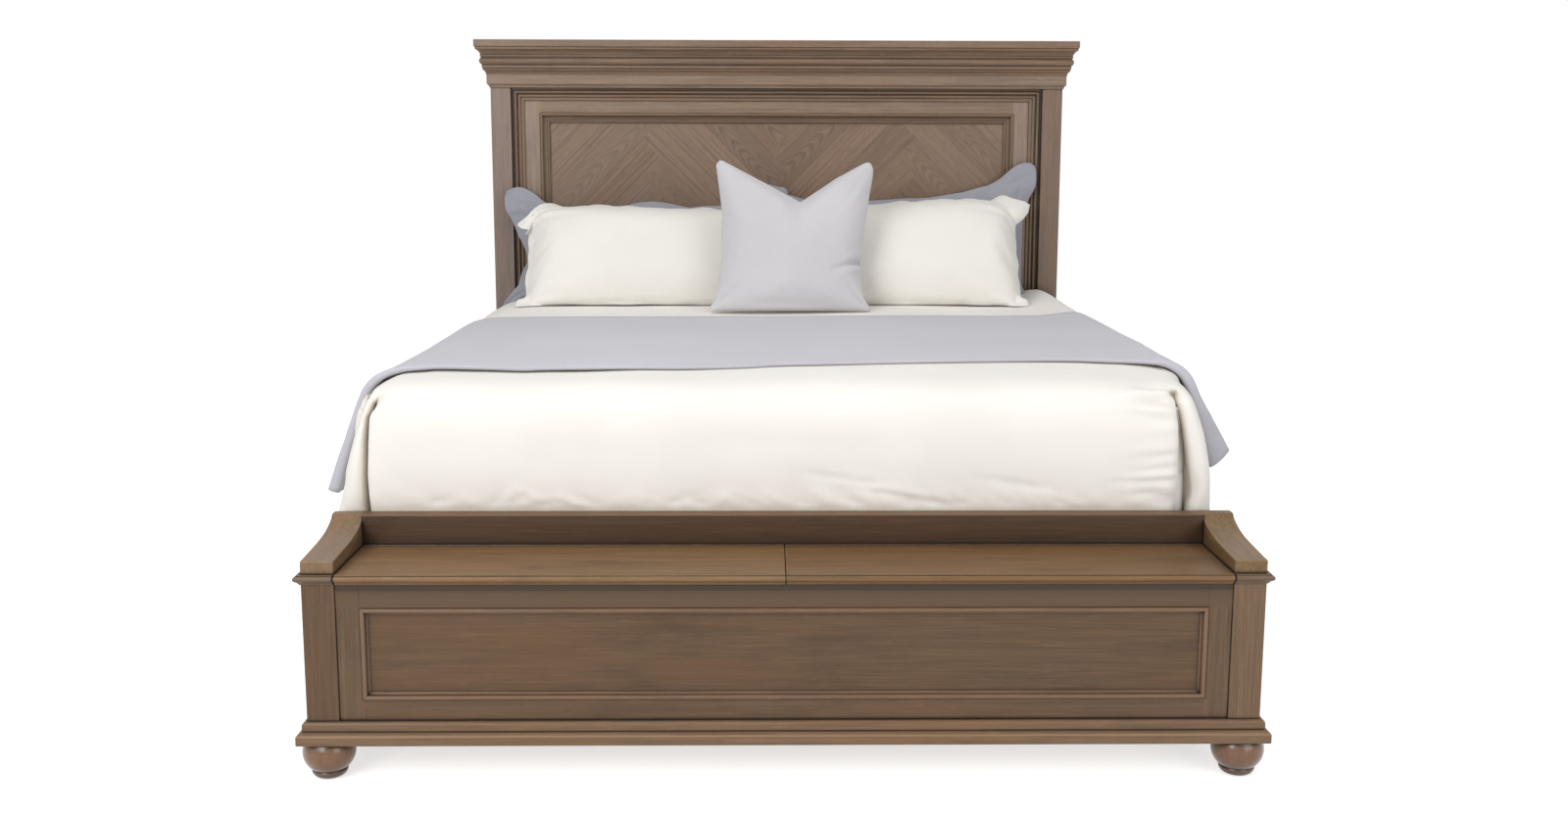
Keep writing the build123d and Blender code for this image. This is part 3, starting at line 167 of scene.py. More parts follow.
class Graph:
    """The node graph of one material or world."""

    def __init__(self, name: str, world: bool = False) -> None:
        """Start the empty graph of a new material or world."""
        self.holder = (bpy.data.worlds if world else bpy.data.materials).new(name)
        self.holder.use_nodes = True
        self.tree = self.holder.node_tree
        self.tree.nodes.clear()

    def add(
        self,
        kind: str,
        settings: dict[str, Any] | None = None,
        sockets: dict[str | int, Any] | None = None,
        output: str | int = 0,
    ) -> Signal:
        """Add a node, with its settings first and its sockets after.

        Args:
            kind: Blender's name of the node's type.
            settings: the node's own properties.
            sockets: values or signals by input name or number.
            output: which output to return.

        Returns:
            The chosen output.
        """
        node = self.tree.nodes.new(kind)
        for key, value in (settings or {}).items():
            setattr(node, key, value)
        for key, value in (sockets or {}).items():
            if isinstance(value, Signal):
                self.tree.links.new(value.socket, node.inputs[key])
            else:
                node.inputs[key].default_value = value
        return Signal(self, node.outputs[output] if len(node.outputs) else None)

    def place(self) -> Signal:
        """Return the object coordinates."""
        return self.add("ShaderNodeTexCoord", output="Object")

    def split(self, vector: Signal) -> tuple[Signal, Signal, Signal]:
        """Return the three parts of a vector."""
        node = self.add("ShaderNodeSeparateXYZ", None, {0: vector}).socket.node
        return tuple(Signal(self, part) for part in node.outputs)

    def join(self, x: Signal | float, y: Signal | float, z: Signal | float) -> Signal:
        """Return a vector of three parts."""
        return self.add("ShaderNodeCombineXYZ", None, {0: x, 1: y, 2: z})

    def noise(
        self, place: Signal, scale: float, detail: float = 2, rough: float = 0.5, bend: float = 0
    ) -> Signal:
        """Return fractal noise from 0 to 1.

        Args:
            place: the vector at which it is read.
            scale: cells in each unit of length.
            detail: octaves.
            rough: the share that each octave keeps.
            bend: distortion.

        Returns:
            The noise.
        """
        sockets = {"Vector": place, "Scale": scale, "Detail": detail, "Roughness": rough, "Distortion": bend}
        return self.add("ShaderNodeTexNoise", None, sockets)

    def grain(self, axes: Sequence[Signal], scales: Point, *shape: float, seed: float = 0.0) -> Signal:
        """Return noise drawn out along its axes.

        Args:
            axes: the three parts of the place at which it is read.
            scales: cells in each metre along each of them.
            shape: its detail, roughness and distortion.
            seed: what is added to the third part.

        Returns:
            The noise.
        """
        parts = [axis * scale for axis, scale in zip(axes, scales, strict=True)]
        if seed:
            parts[2] = parts[2] + seed
        return self.noise(self.join(*parts), 1, *shape)

    def dice(self, x: Signal, y: Signal) -> Signal:
        """Return one random number for each pair of whole numbers."""
        place = self.join(x, y, 0.0)
        return self.add("ShaderNodeTexWhiteNoise", {"noise_dimensions": "3D"}, {"Vector": place})

    def blend(self, share: Signal, first: Signal | Colour, second: Signal | Colour) -> Signal:
        """Mix two colours.

        Args:
            share: how much of the second.
            first: the colour at 0.
            second: the colour at 1.

        Returns:
            The mixed colour.
        """
        settings = {"data_type": "RGBA", "clamp_factor": True}
        return self.add("ShaderNodeMix", settings, {0: share, 6: first, 7: second}, 2)

    def layers(self, colour: Signal | Colour, tone: Colour, *layers: tuple[Signal, float]) -> Signal:
        """Lay darker and lighter tones over a colour.

        Args:
            colour: what lies below.
            tone: the tone that the layers are made from.
            layers: how much of each layer shows, and the share of the tone in it, from the lowest up.

        Returns:
            The colour.
        """
        for share, factor in layers:
            colour = self.blend(share, colour, tinted(tone, factor))
        return colour

    def relief(self, height: Signal, depth: float, normal: Signal | None = None) -> Signal:
        """Return a bumped normal.

        Args:
            height: the relief, from 0 to 1.
            depth: how deep a whole step is, in metres.
            normal: the normal that it is added to.

        Returns:
            The normal.
        """
        sockets = {"Height": height, "Distance": depth, "Strength": 1.0}
        if normal:
            sockets["Normal"] = normal
        return self.add("ShaderNodeBump", None, sockets)

    def crevice(self, reach: float) -> Signal:
        """Return how open a point is, from 0 in a crevice to 1, looking some metres far."""
        return self.add("ShaderNodeAmbientOcclusion", {"samples": 8}, {"Distance": reach}, "AO")

    def edges(self, radius: float) -> tuple[Signal, Signal]:
        """Find the rounded-over edges of a piece.

        Args:
            radius: how far an edge's rounding reaches, in metres.

        Returns:
            The rounded normal, and how much of an edge there is, from 0 to 1.
        """
        soft = self.add("ShaderNodeBevel", {"samples": 6}, {"Radius": radius})
        plain = self.add("ShaderNodeNewGeometry", output="Normal")
        along = self.add("ShaderNodeVectorMath", {"operation": "DOT_PRODUCT"}, {0: soft, 1: plain}, "Value")
        return soft, (1 - along).eased(0.02, 0.2)

    def finish(self, colour: Signal, rough: Signal, normal: Signal, **fixed: float) -> bpy.types.Material:
        """Close the graph with one surface shader.

        Args:
            colour: the base colour.
            rough: the roughness.
            normal: the normal.
            fixed: other inputs of the shader, the same all over the surface.

        Returns:
            The material.
        """
        sockets = {"Base Color": colour, "Roughness": rough, "Normal": normal}
        for name, value in fixed.items():
            sockets[name.replace("_", " ").title().replace("Ior", "IOR")] = value
        shader = self.add("ShaderNodeBsdfPrincipled", None, sockets)
        self.add("ShaderNodeOutputMaterial", None, {"Surface": shader})
        return self.holder


# ---------------------------------------------------------------- finishes


class Run(Enum):
    """Which way the grain of a wooden piece runs."""

    ACROSS = "along X"
    DEEP = "along Y"
    UPRIGHT = "along Z"
    FRAME = "mitred round an upright frame"
    WRAP = "mitred round a front and two returns"


@dataclass(frozen=True)
class Mitre:
    """Where a mitred moulding turns its corner.

    Attributes:
        half_width: |x| on the mitre line.
        top: the upper corner's z on that line, or the front's y for a wrap.
        bottom: the lower corner's z, if the moulding has one.
    """

    half_width: float
    top: float
    bottom: float | None = None


@dataclass(frozen=True)
class StainedWood:
    """Poplar with a taupe-brown stain, a dark glaze and painted shade in its hollows, painted shade under
    overhangs, and edges that are worn and lit by a painted highlight.

    Attributes:
        name: the material's name.
        tone: the stain's colour.
        run: which way the grain runs.
        mitre: the corner of a mitred moulding.
        figure: how strong the grain is.
        rough: the lacquer's roughness.
        shift: how far into the plank the piece was cut, so that no two match.
        coat: how much clear lacquer lies over it.
        wear_and_highlight: how much lighter its edges are, partly from being worn and partly as a painted
            highlight.
        mottle: how much darker the stain lies in patches.
        bands: darker bands of painted shade and lighter bands of painted highlight, as an axis (0 for |x|, 2
            for z), their low and high ends on it, and the share of the colour in them.
        band_edge: how far a band's edge fades, in metres.
        groove: the width of the dark line along a mitre.
    """

    name: str
    tone: Colour
    run: Run
    mitre: Mitre | None = None
    figure: float = 1.0
    rough: float = 0.44
    shift: float = 0.0
    coat: float = 0.1
    wear_and_highlight: float = 0.72
    mottle: float = 0.52
    bands: tuple[tuple[int, float, float, float], ...] = ()
    band_edge: float = 0.0012
    groove: float = 0.0012

    def grain_place(self, graph: Graph) -> tuple[Signal, Signal, Signal, Signal | None]:
        """Return the place along the grain, the two across it, and the distance to a mitre."""
        x, y, z = graph.split(graph.place())
        straight = {Run.ACROSS: (x, y, z, None), Run.DEEP: (y, x, z, None), Run.UPRIGHT: (z, x, y, None)}
        if self.run in straight:
            return straight[self.run]
        level, rest = (z, y) if self.run is Run.FRAME else (y, z)
        reach = level - self.mitre.top if self.run is Run.FRAME else self.mitre.top - level
        if self.mitre.bottom is not None:
            reach = reach.most(self.mitre.bottom - level)
        beyond = abs(x) - self.mitre.half_width
        side = (beyond - reach) > 0.0
        return side.pick(x, level), side.pick(level, x), rest, beyond - reach

    def material(self) -> bpy.types.Material:
        """Build the material."""
        graph = Graph(self.name)
        along, across, depth, mitre = self.grain_place(graph)
        axes = (along + self.shift, across, depth + 0.37 * self.shift)
        cloud = graph.grain(axes, (1.4, 7, 7), 3, 0.55)
        band = graph.grain(axes, (3, 70, 70), 3, 0.6, 0.3)
        streak = graph.grain(axes, (6, 250, 250), 3, 0.6, 0.2)
        pore = graph.grain(axes, (26, 620, 620), 2, 0.6)
        fleck = graph.grain(axes, (15, 330, 330), 1, 0.4, seed=9.0)
        patch = graph.grain(axes, (3.2, 11, 11), 4, 0.65, seed=4.0)
        rings = ((axes[1] * 24 + axes[2] * 13 + cloud * 4 + band * 0.8) * math.tau).sine()
        light = tinted(self.tone, 1 + 0.20 * self.figure)
        dark = tinted(self.tone, 1 - 0.24 * self.figure)
        colour = graph.blend((streak * 0.55 + band * 0.45).eased(0.34, 0.66), dark, light)
        colour = graph.blend(cloud.eased(0.40, 0.68) * 0.45, colour, tinted(self.tone, 1.16, 0.98, 0.80))
        open_sky = graph.crevice(0.009)
        # Painted shade: darker within a few centimetres of overhangs and inner corners, as under the lids'
        # nosing.
        brushed = graph.crevice(0.055).eased(0.9, 0.5) * (0.75 + 0.6 * cloud)
        # Partly a dark glaze and partly painted shade in grooves and narrow recesses.
        hollow = (open_sky + (streak - 0.5) * 0.16).eased(0.92, 0.54)
        soft_normal, edge = graph.edges(0.0034)
        # Edges lightened partly as worn and partly as a painted highlight of the lamps on their rounding.
        edge_wear_and_highlight = edge * open_sky.eased(0.6, 0.85) * (cloud + band).eased(0.62, 1.0)
        colour = graph.layers(
            colour,
            self.tone,
            (rings.eased(0.55, 1.0) * (0.10 * self.figure), 0.62),
            (pore.eased(0.6, 0.74) * (0.40 * self.figure), 0.45),
            (fleck.eased(0.66, 0.74) * (0.36 * self.figure), 1.7),
            (patch.eased(0.50, 0.72) * self.mottle, 0.5),
            (edge_wear_and_highlight * self.wear_and_highlight, 2.5),
            ((brushed * 0.56).held(), 0.28),
            ((hollow * 0.94).held(), 0.06),
        )
        parts = graph.split(graph.place())
        fade = self.band_edge
        # Lay the bands of painted shade and painted highlight over the stain.
        for axis, low, high, share in self.bands:
            way = abs(parts[axis])
            inside = way.eased(low - fade, low + fade) * way.eased(high + fade, high - fade)
            colour = graph.layers(colour, self.tone, (inside * (0.82 + 0.3 * streak), share))
        if mitre:
            line = abs(mitre).eased(self.groove, 0.25 * self.groove)
            colour = graph.layers(colour, self.tone, (line * 0.6, 0.3))
        rough = (self.rough + (streak - 0.5) * 0.1 + pore.eased(0.6, 0.75) * 0.1 + hollow * 0.16).held()
        height = streak * 0.3 - pore.eased(0.58, 0.76) * 0.7
        normal = graph.relief(height, 0.00016, soft_normal)
        lacquer = {"coat_weight": self.coat, "coat_roughness": 0.28, "specular_ior_level": 0.28}
        return graph.finish(colour, rough, normal, **lacquer)


@dataclass(frozen=True)
class HerringboneVeneer:
    """Stained oak planks set at 45 degrees in four zones that interlock.

    Attributes:
        tone: the stain's colour.
        plank: a plank's width.
        turns: the x of each line on which the planks turn.
        level: the z from which the rows are counted.
    """

    tone: Colour
    plank: float = 0.1
    turns: Point = (-0.457, 0.007, 0.472)
    level: float = 1.2

    def material(self) -> bpy.types.Material:
        """Build the material."""
        graph = Graph("herringbone_veneer")
        x, _, z = graph.split(graph.place())
        rise = (x + z - self.level) * math.sqrt(0.5)
        fall = (z - x - self.level) * math.sqrt(0.5)
        width = self.plank
        rise_row, fall_row = ((way / width).floor() for way in (rise, fall))
        left, middle, right = (math.sqrt(2) * turn for turn in self.turns)
        past_left = rise > fall_row * width + (left + 0.5 * width)
        past_middle = (rise_row * width - (middle - 0.5 * width)) > fall
        past_right = rise > fall_row * width + (right + 0.5 * width)
        zone = past_left + past_middle * past_left + past_right * past_middle * past_left
        falling = (zone * 0.5).fract() > 0.25
        along = falling.pick(rise, fall)
        across = falling.pick(fall, rise)
        row = falling.pick(fall_row, rise_row)
        chance, other, third = (graph.dice(way, zone) for way in (row, row + 40, row + 80))
        within = (across / width).fract()
        wander = graph.noise(graph.join(along * 3 + chance * 30, across * 7, row * 3), 1)
        fine = graph.noise(graph.join(along * 7 + chance * 9, across * 110, row), 1, 3, 0.6)
        lines = graph.noise(graph.join(along * 1.8 + chance * 11, across * 125, row + 50), 1)
        pore = graph.grain((along, across, row), (30, 420, 5), 2, 0.6)
        centre = within - (0.3 + 0.4 * other)
        arched = (centre * centre * 20 + (along + chance) * 22 + wander * 4.5).fract()
        rings = arched.eased(0.25, 0.92) * arched.eased(1.0, 0.94)
        growth = ((chance * 7.3).fract() > 0.45).pick(lines.eased(0.5, 0.68), rings)
        plain = graph.blend(chance, tinted(self.tone, 0.82), tinted(self.tone, 1.16))
        joint = abs(within - 0.5).eased(0.488, 0.497)
        colour = graph.layers(
            graph.blend(other * 0.5, plain, tinted(self.tone, 1.12, 0.96, 0.80)),
            self.tone,
            (fine.eased(0.35, 0.7) * 0.5, 1.36),
            (growth * (0.14 + 0.40 * third), 0.36),
            (pore.eased(0.56, 0.72) * 0.55, 0.42),
            (joint * 0.6, 0.3),
            # Painted shade where the veneer meets the moulding round it.
            (graph.crevice(0.018).eased(0.92, 0.4) * 0.8, 0.15),
        )
        height = fine * 0.25 - growth * 0.45 - joint - pore.eased(0.58, 0.76) * 0.5
        rough = (0.44 + growth * 0.1 + (fine - 0.5) * 0.08).held()
        normal = graph.relief(height, 0.00022)
        lacquer = {"coat_weight": 0.1, "coat_roughness": 0.3, "specular_ior_level": 0.28}
        return graph.finish(colour, rough, normal, **lacquer)


@dataclass(frozen=True)
class PlainWood:
    """Planed, unstained softwood for what is out of sight.

    Attributes:
        name: the material's name.
        run: which way the grain runs.
        tone: the wood's colour.
    """

    name: str
    run: Run
    tone: Colour = rgb(0.42, 0.28, 0.155)

    def material(self) -> bpy.types.Material:
        """Build the material."""
        graph = Graph(self.name)
        x, y, z = graph.split(graph.place())
        axes = {Run.ACROSS: (x, y, z), Run.DEEP: (y, x, z), Run.UPRIGHT: (z, x, y)}[self.run]
        wander = graph.grain(axes, (1.6, 4, 4))
        fine = graph.grain(axes, (8, 240, 240), 3, 0.6)
        band = (axes[1] * 36 + axes[2] * 60 + wander * 9).fract()
        late = band.eased(0.35, 0.92) * band.eased(1.0, 0.95)
        knot_place = graph.join(axes[0] * 2.6, axes[1] * 9, axes[2] * 3)
        knots = graph.add("ShaderNodeTexVoronoi", {"feature": "F1"}, {"Vector": knot_place, "Scale": 1.0})
        colour = graph.layers(
            graph.blend(late * 0.55, self.tone, tinted(self.tone, 0.72, 0.58, 0.46)),
            self.tone,
            (fine.eased(0.35, 0.75) * 0.25, 1.2),
            (knots.eased(0.11, 0.05) * 0.8, 0.25),
            # Painted shade in corners and where parts meet.
            (graph.crevice(0.02).eased(0.8, 0.3) * 0.5, 0.35),
        )
        normal = graph.relief(fine * 0.5 - late * 0.5, 0.0002)
        return graph.finish(colour, 0.62 + (fine - 0.5) * 0.12, normal, specular_ior_level=0.35)


@dataclass(frozen=True)
class PlatedSteel:
    """Zinc or bronze plated steel with fine brushing and dulled patches.

    Attributes:
        name: the material's name.
        tone: the plating's colour.
        rough: its roughness.
    """

    name: str
    tone: Colour
    rough: float

    def material(self) -> bpy.types.Material:
        """Build the material."""
        graph = Graph(self.name)
        place = graph.place()
        brushed = graph.grain(graph.split(place), (40, 900, 900))
        patch = graph.noise(place, 55, 3, 0.6)
        colour = graph.blend(patch.eased(0.4, 0.7), tinted(self.tone, 0.8), tinted(self.tone, 1.12))
        # Painted shade in the fittings' crevices.
        colour = graph.layers(colour, self.tone, (graph.crevice(0.004).eased(0.8, 0.3) * 0.6, 0.25))
        rough = (self.rough + (patch - 0.5) * 0.24 + (brushed - 0.5) * 0.12).held()
        soft_normal, _ = graph.edges(0.0005)
        return graph.finish(colour, rough, graph.relief(brushed, 0.00002, soft_normal), metallic=1.0)


@dataclass(frozen=True)
class Nylon:
    """Moulded black-brown nylon of the glides."""

    tone: Colour = rgb(0.05, 0.044, 0.04)

    def material(self) -> bpy.types.Material:
        """Build the material."""
        graph = Graph("nylon")
        moulded = graph.noise(graph.place(), 700)
        scuff = graph.noise(graph.place(), 60, 3, 0.6)
        colour = graph.layers(self.tone, self.tone, (scuff.eased(0.5, 0.7) * 0.5, 2.0))
        return graph.finish(colour, 0.45 + scuff * 0.2, graph.relief(moulded, 0.00004))


class Weave(Enum):
    """How a cloth is made up."""

    PLAIN = "plain weave"
    RIBBED = "fine ribs"
    SLUB = "slubbed weave"
    PILE = "short pile"
    TICKING = "woven ticking"


@dataclass(frozen=True)
class Cloth:
    """A fabric, woven over the UV map that its piece carries in metres.

    Attributes:
        name: the material's name.
        tone: its colour.
        weave: how it is made up.
        thread: the spacing of its threads or ribs.
        relief: how deep they are.
        sheen: how much light its fibres catch at a grazing angle.
        hollow: the share of each colour that its painted shade in folds and hollows keeps.
        shade: how strong the painted shade in its folds and hollows is.
        rough: its roughness.
        diamond: the side of a ticking's woven diamonds.
    """

    name: str
    tone: Colour
    weave: Weave
    thread: float
    relief: float
    sheen: float = 0.25
    hollow: Point = (0.62, 0.62, 0.62)
    shade: float = 0.5
    rough: float = 0.85
    diamond: float = 0.09

    def material(self) -> bpy.types.Material:
        """Build the material."""
        graph = Graph(self.name)
        u, v, _ = graph.split(graph.add("ShaderNodeUVMap", {"uv_map": "weave"}))
        place = graph.place()
        cloud = graph.noise(place, 3.2, 3, 0.55)
        fuzz = graph.noise(place, 900, 2, 0.6)
        across, up = u / self.thread, v / self.thread
        waves = [(way * (math.tau / self.thread)).sine() for way in (u, v)]
        warp = graph.noise(graph.join(across * 0.06, up * 0.9, 0.0), 1)
        weft = graph.noise(graph.join(across * 0.9, up * 0.06, 5.0), 1)
        if self.weave in (Weave.PLAIN, Weave.SLUB):
            strength = 0.9 if self.weave is Weave.SLUB else 0.45
            slub = (warp.eased(0.55, 0.8) + weft.eased(0.6, 0.82)) * strength
            height = (waves[0] * waves[1] * 0.5 + 0.5) * 0.7 + slub * 0.5
        elif self.weave is Weave.RIBBED:
            slub = weft.eased(0.45, 0.8)
            height = waves[1] * 0.5 + 0.5 + fuzz * 0.35
        elif self.weave is Weave.PILE:
            slub = graph.noise(place, 70, 3, 0.65).eased(0.35, 0.7)
            height = fuzz * 0.8 + slub * 0.5
        else:
            cells = [(way / self.diamond).fract() - 0.5 for way in (u, v)]
            slub = (cells[0] * cells[1]).eased(-0.06, 0.06)
            height = slub * 0.8 + waves[0] * 0.1
        colour = graph.layers(
            graph.blend(cloud.eased(0.35, 0.7), tinted(self.tone, 0.97), tinted(self.tone, 1.02)),
            self.tone,
            (slub.held() * 0.16, 0.84),
            (height.eased(0.6, 0.1) * 0.1, 0.78),
        )
        # Painted shade: darker in folds, creases and where other pieces lie close.
        fold = graph.crevice(0.035).eased(0.95, 0.35)
        colour = graph.blend(fold * self.shade, colour, tinted(self.tone, *self.hollow))
        rough = (self.rough + (fuzz - 0.5) * 0.1).held()
        normal = graph.relief(height + fuzz * 0.2, self.relief)
        fibres = {"sheen_weight": self.sheen, "sheen_roughness": 0.5, "specular_ior_level": 0.2}
        return graph.finish(colour, rough, normal, **fibres)


# ---------------------------------------------------------------- mesh helpers


class Line:
    """A smooth line through a few points, read by its share of length."""

    def __init__(self, points: Sequence[Sequence[float]], rounds: int = 12) -> None:
        """Measure the line.

        Args:
            points: the points that it passes through, all of one dimension.
            rounds: how many short steps there are from each point to the next.
        """
        ends = np.array(points, float)
        posts = np.vstack([2 * ends[0] - ends[1], ends, 2 * ends[-1] - ends[-2]])
        steps = np.linspace(0, 1, rounds, endpoint=False)[:, None]
        spans = []
        for a, b, c, d in zip(posts, posts[1:], posts[2:], posts[3:]):
            cubic = (3 * b - a - 3 * c + d) * steps**3
            spans.append(0.5 * (2 * b + (c - a) * steps + (2 * a - 5 * b + 4 * c - d) * steps**2 + cubic))
        self.places = np.vstack([*spans, ends[-1:]])
        runs = np.linalg.norm(np.diff(self.places, axis=0), axis=1)
        self.length = float(runs.sum())
        self.shares = np.concatenate([[0.0], np.cumsum(runs)]) / self.length

    def at(self, share: Places) -> np.ndarray:
        """Return the point or points at a share of the length."""
        return np.stack([np.interp(share, self.shares, column) for column in self.places.T], axis=-1)

    def over(self, first: float) -> float:
        """Return the line's second part where its first has a given value."""
        return float(np.interp(first, self.places[:, 0], self.places[:, 1]))


@dataclass(frozen=True)
class Crease:
    """A ridge or a hollow in a cloth, from one point to another.

    Attributes:
        start: where it begins.
        end: where it runs out.
        height: how far it stands out, or sinks in where negative.
        width: how far it reaches to each side.
    """

    start: Point
    end: Point
    height: float
    width: float

    def lift(self, places: np.ndarray, keep: Point = (1, 1, 1)) -> np.ndarray:
        """Return how far each place is lifted along its normal.

        Args:
            places: one place to a row.
            keep: how much each axis counts.

        Returns:
            One lift to a place.
        """
        start, end, places = (np.array(value) * keep for value in (self.start, self.end, places))
        run = end - start
        share = np.clip((places - start) @ run / (run @ run), 0, 1)
        off = np.linalg.norm(places - (start + share[:, None] * run), axis=1) / self.width
        taper = np.sqrt(np.clip(1.02 - share, 0, 1)) * np.clip(0.35 + share * 6, 0, 1)
        return self.height * taper * np.exp(-off * off)


def ripples(places: np.ndarray, scale: Point, height: float, seed: float) -> np.ndarray:
    """Return a soft, uneven swell over some places.

    Args:
        places: one place to a row.
        scale: cells in each metre, along each axis.
        height: the most that it lifts.
        seed: which swell it is.

    Returns:
        One lift to a place.
    """
    shift = Vector((seed, 3.1 * seed, 7.7 * seed))
    spread = places * np.array(scale)
    return np.array([height * noise.noise(Vector(place) + shift) for place in spread])


SHOULDER_X, SHOULDER_Z, SHOULDER_REACH = 0.965, 0.835, 0.075
SHOULDER_SWELL = ((-0.70, -0.55, -0.30, 0.40, 0.95, 1.14), (0.0, 0.011, 0.019, 0.017, 0.034, 0.036))


def fullness(x: Places, y: Places, z: Places) -> Places:
    """Return how far the bed's right shoulder is plumped out at some places."""
    off = np.hypot(x - SHOULDER_X, z - SHOULDER_Z) / SHOULDER_REACH
    return np.interp(y, *SHOULDER_SWELL) * np.exp(-off * off)


def coordinates(mesh: bpy.types.Mesh, kind: str = "vertices") -> np.ndarray:
    """Return a mesh's places, or its normals, one to a row."""
    source = mesh.vertex_normals if kind == "normals" else mesh.vertices
    values = np.empty(len(mesh.vertices) * 3)
    source.foreach_get("vector" if kind == "normals" else "co", values)
    return values.reshape(-1, 3)


def put(mesh: bpy.types.Mesh, places: np.ndarray) -> None:
    """Move a mesh's vertices to new places."""
    mesh.vertices.foreach_set("co", np.ascontiguousarray(places, dtype=np.float32).ravel())
    mesh.update()


def settle(bm: bmesh.types.BMesh) -> None:
    """Put a bmesh's parts in an order that is the same in each run."""

    def corners(part: bmesh.types.BMEdge | bmesh.types.BMFace) -> list[int]:
        """Return the numbers of a part's vertices, in order."""
        return sorted(vert.index for vert in part.verts)

    for parts, key in ((bm.verts, lambda vert: vert.co[:]), (bm.edges, corners), (bm.faces, corners)):
        ranks = {part: rank for rank, part in enumerate(sorted(parts, key=key))}
        parts.sort(key=ranks.get)
        parts.index_update()


def new_mesh(bm: bmesh.types.BMesh, name: str) -> bpy.types.Object:
    """Make an object of a bmesh and free it.

    Args:
        bm: the finished bmesh; a vertex layer named flat becomes the weave's UV map.
        name: the piece's name.

    Returns:
        The object, smooth shaded.
    """
    settle(bm)
    flat = bm.verts.layers.float_vector.get("flat")
    if flat:
        weave = bm.loops.layers.uv.new("weave")
        for face in bm.faces:
            for loop in face.loops:
                loop[weave].uv = loop.vert[flat].xy
    for face in bm.faces:
        face.smooth = True
    mesh = bpy.data.meshes.new(name)
    bm.to_mesh(mesh)
    bm.free()
    piece = bpy.data.objects.new(name, mesh)
    bpy.context.scene.collection.objects.link(piece)
    return piece


def fitted(piece: bpy.types.Object, material: bpy.types.Material, slot: str, *nodes: str) -> None:
    """Dress a new piece, fix it to the bed and report it.

    Args:
        piece: the piece.
        material: its finish.
        slot: the record's material slot; it is not used.
        nodes: the CAD nodes that it stands for.
    """
    piece.data.materials.clear()
    piece.data.materials.append(material)
    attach(piece, "bed")
    if nodes:
        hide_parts(*nodes)
    LOG.info("%s: %d vertices", piece.name, len(piece.data.vertices))


def grid(columns: np.ndarray, rows: np.ndarray) -> bmesh.types.BMesh:
    """Make a flat grid whose lines are unevenly spaced.

    Args:
        columns: the x of each line.
        rows: the y of each line.

    Returns:
        A bmesh with a vertex layer named flat that holds each vertex's x and y.
    """
    bm = bmesh.new()
    flat = bm.verts.layers.float_vector.new("flat")
    bmesh.ops.create_grid(bm, x_segments=len(columns) - 1, y_segments=len(rows) - 1, size=1)
    for vert in bm.verts:
        column = round((vert.co.x + 1) / 2 * (len(columns) - 1))
        row = round((vert.co.y + 1) / 2 * (len(rows) - 1))
        vert.co = (columns[column], rows[row], 0)
        vert[flat] = vert.co
    return bm


def spaced(
    low: float, high: float, pitch: float, fine: float, fine_count: int, both: bool = True
) -> np.ndarray:
    """Return the places of grid lines, closer together near the ends.

    Args:
        low: the first line.
        high: the last line.
        pitch: the spacing between the fine parts.
        fine: the spacing near an end.
        fine_count: how many fine gaps there are.
        both: whether the high end is fine too.

    Returns:
        The lines' places.
    """
    start = low + fine * np.arange(fine_count)
    stop = high - fine * fine_count if both else high
    middle = np.linspace(low + fine * fine_count, stop, 1 + round((stop - low - fine * fine_count) / pitch))
    end = high - fine * np.arange(fine_count)[::-1] if both else np.array([])
    return np.concatenate([start, middle, end])


# ---------------------------------------------------------------- bedding


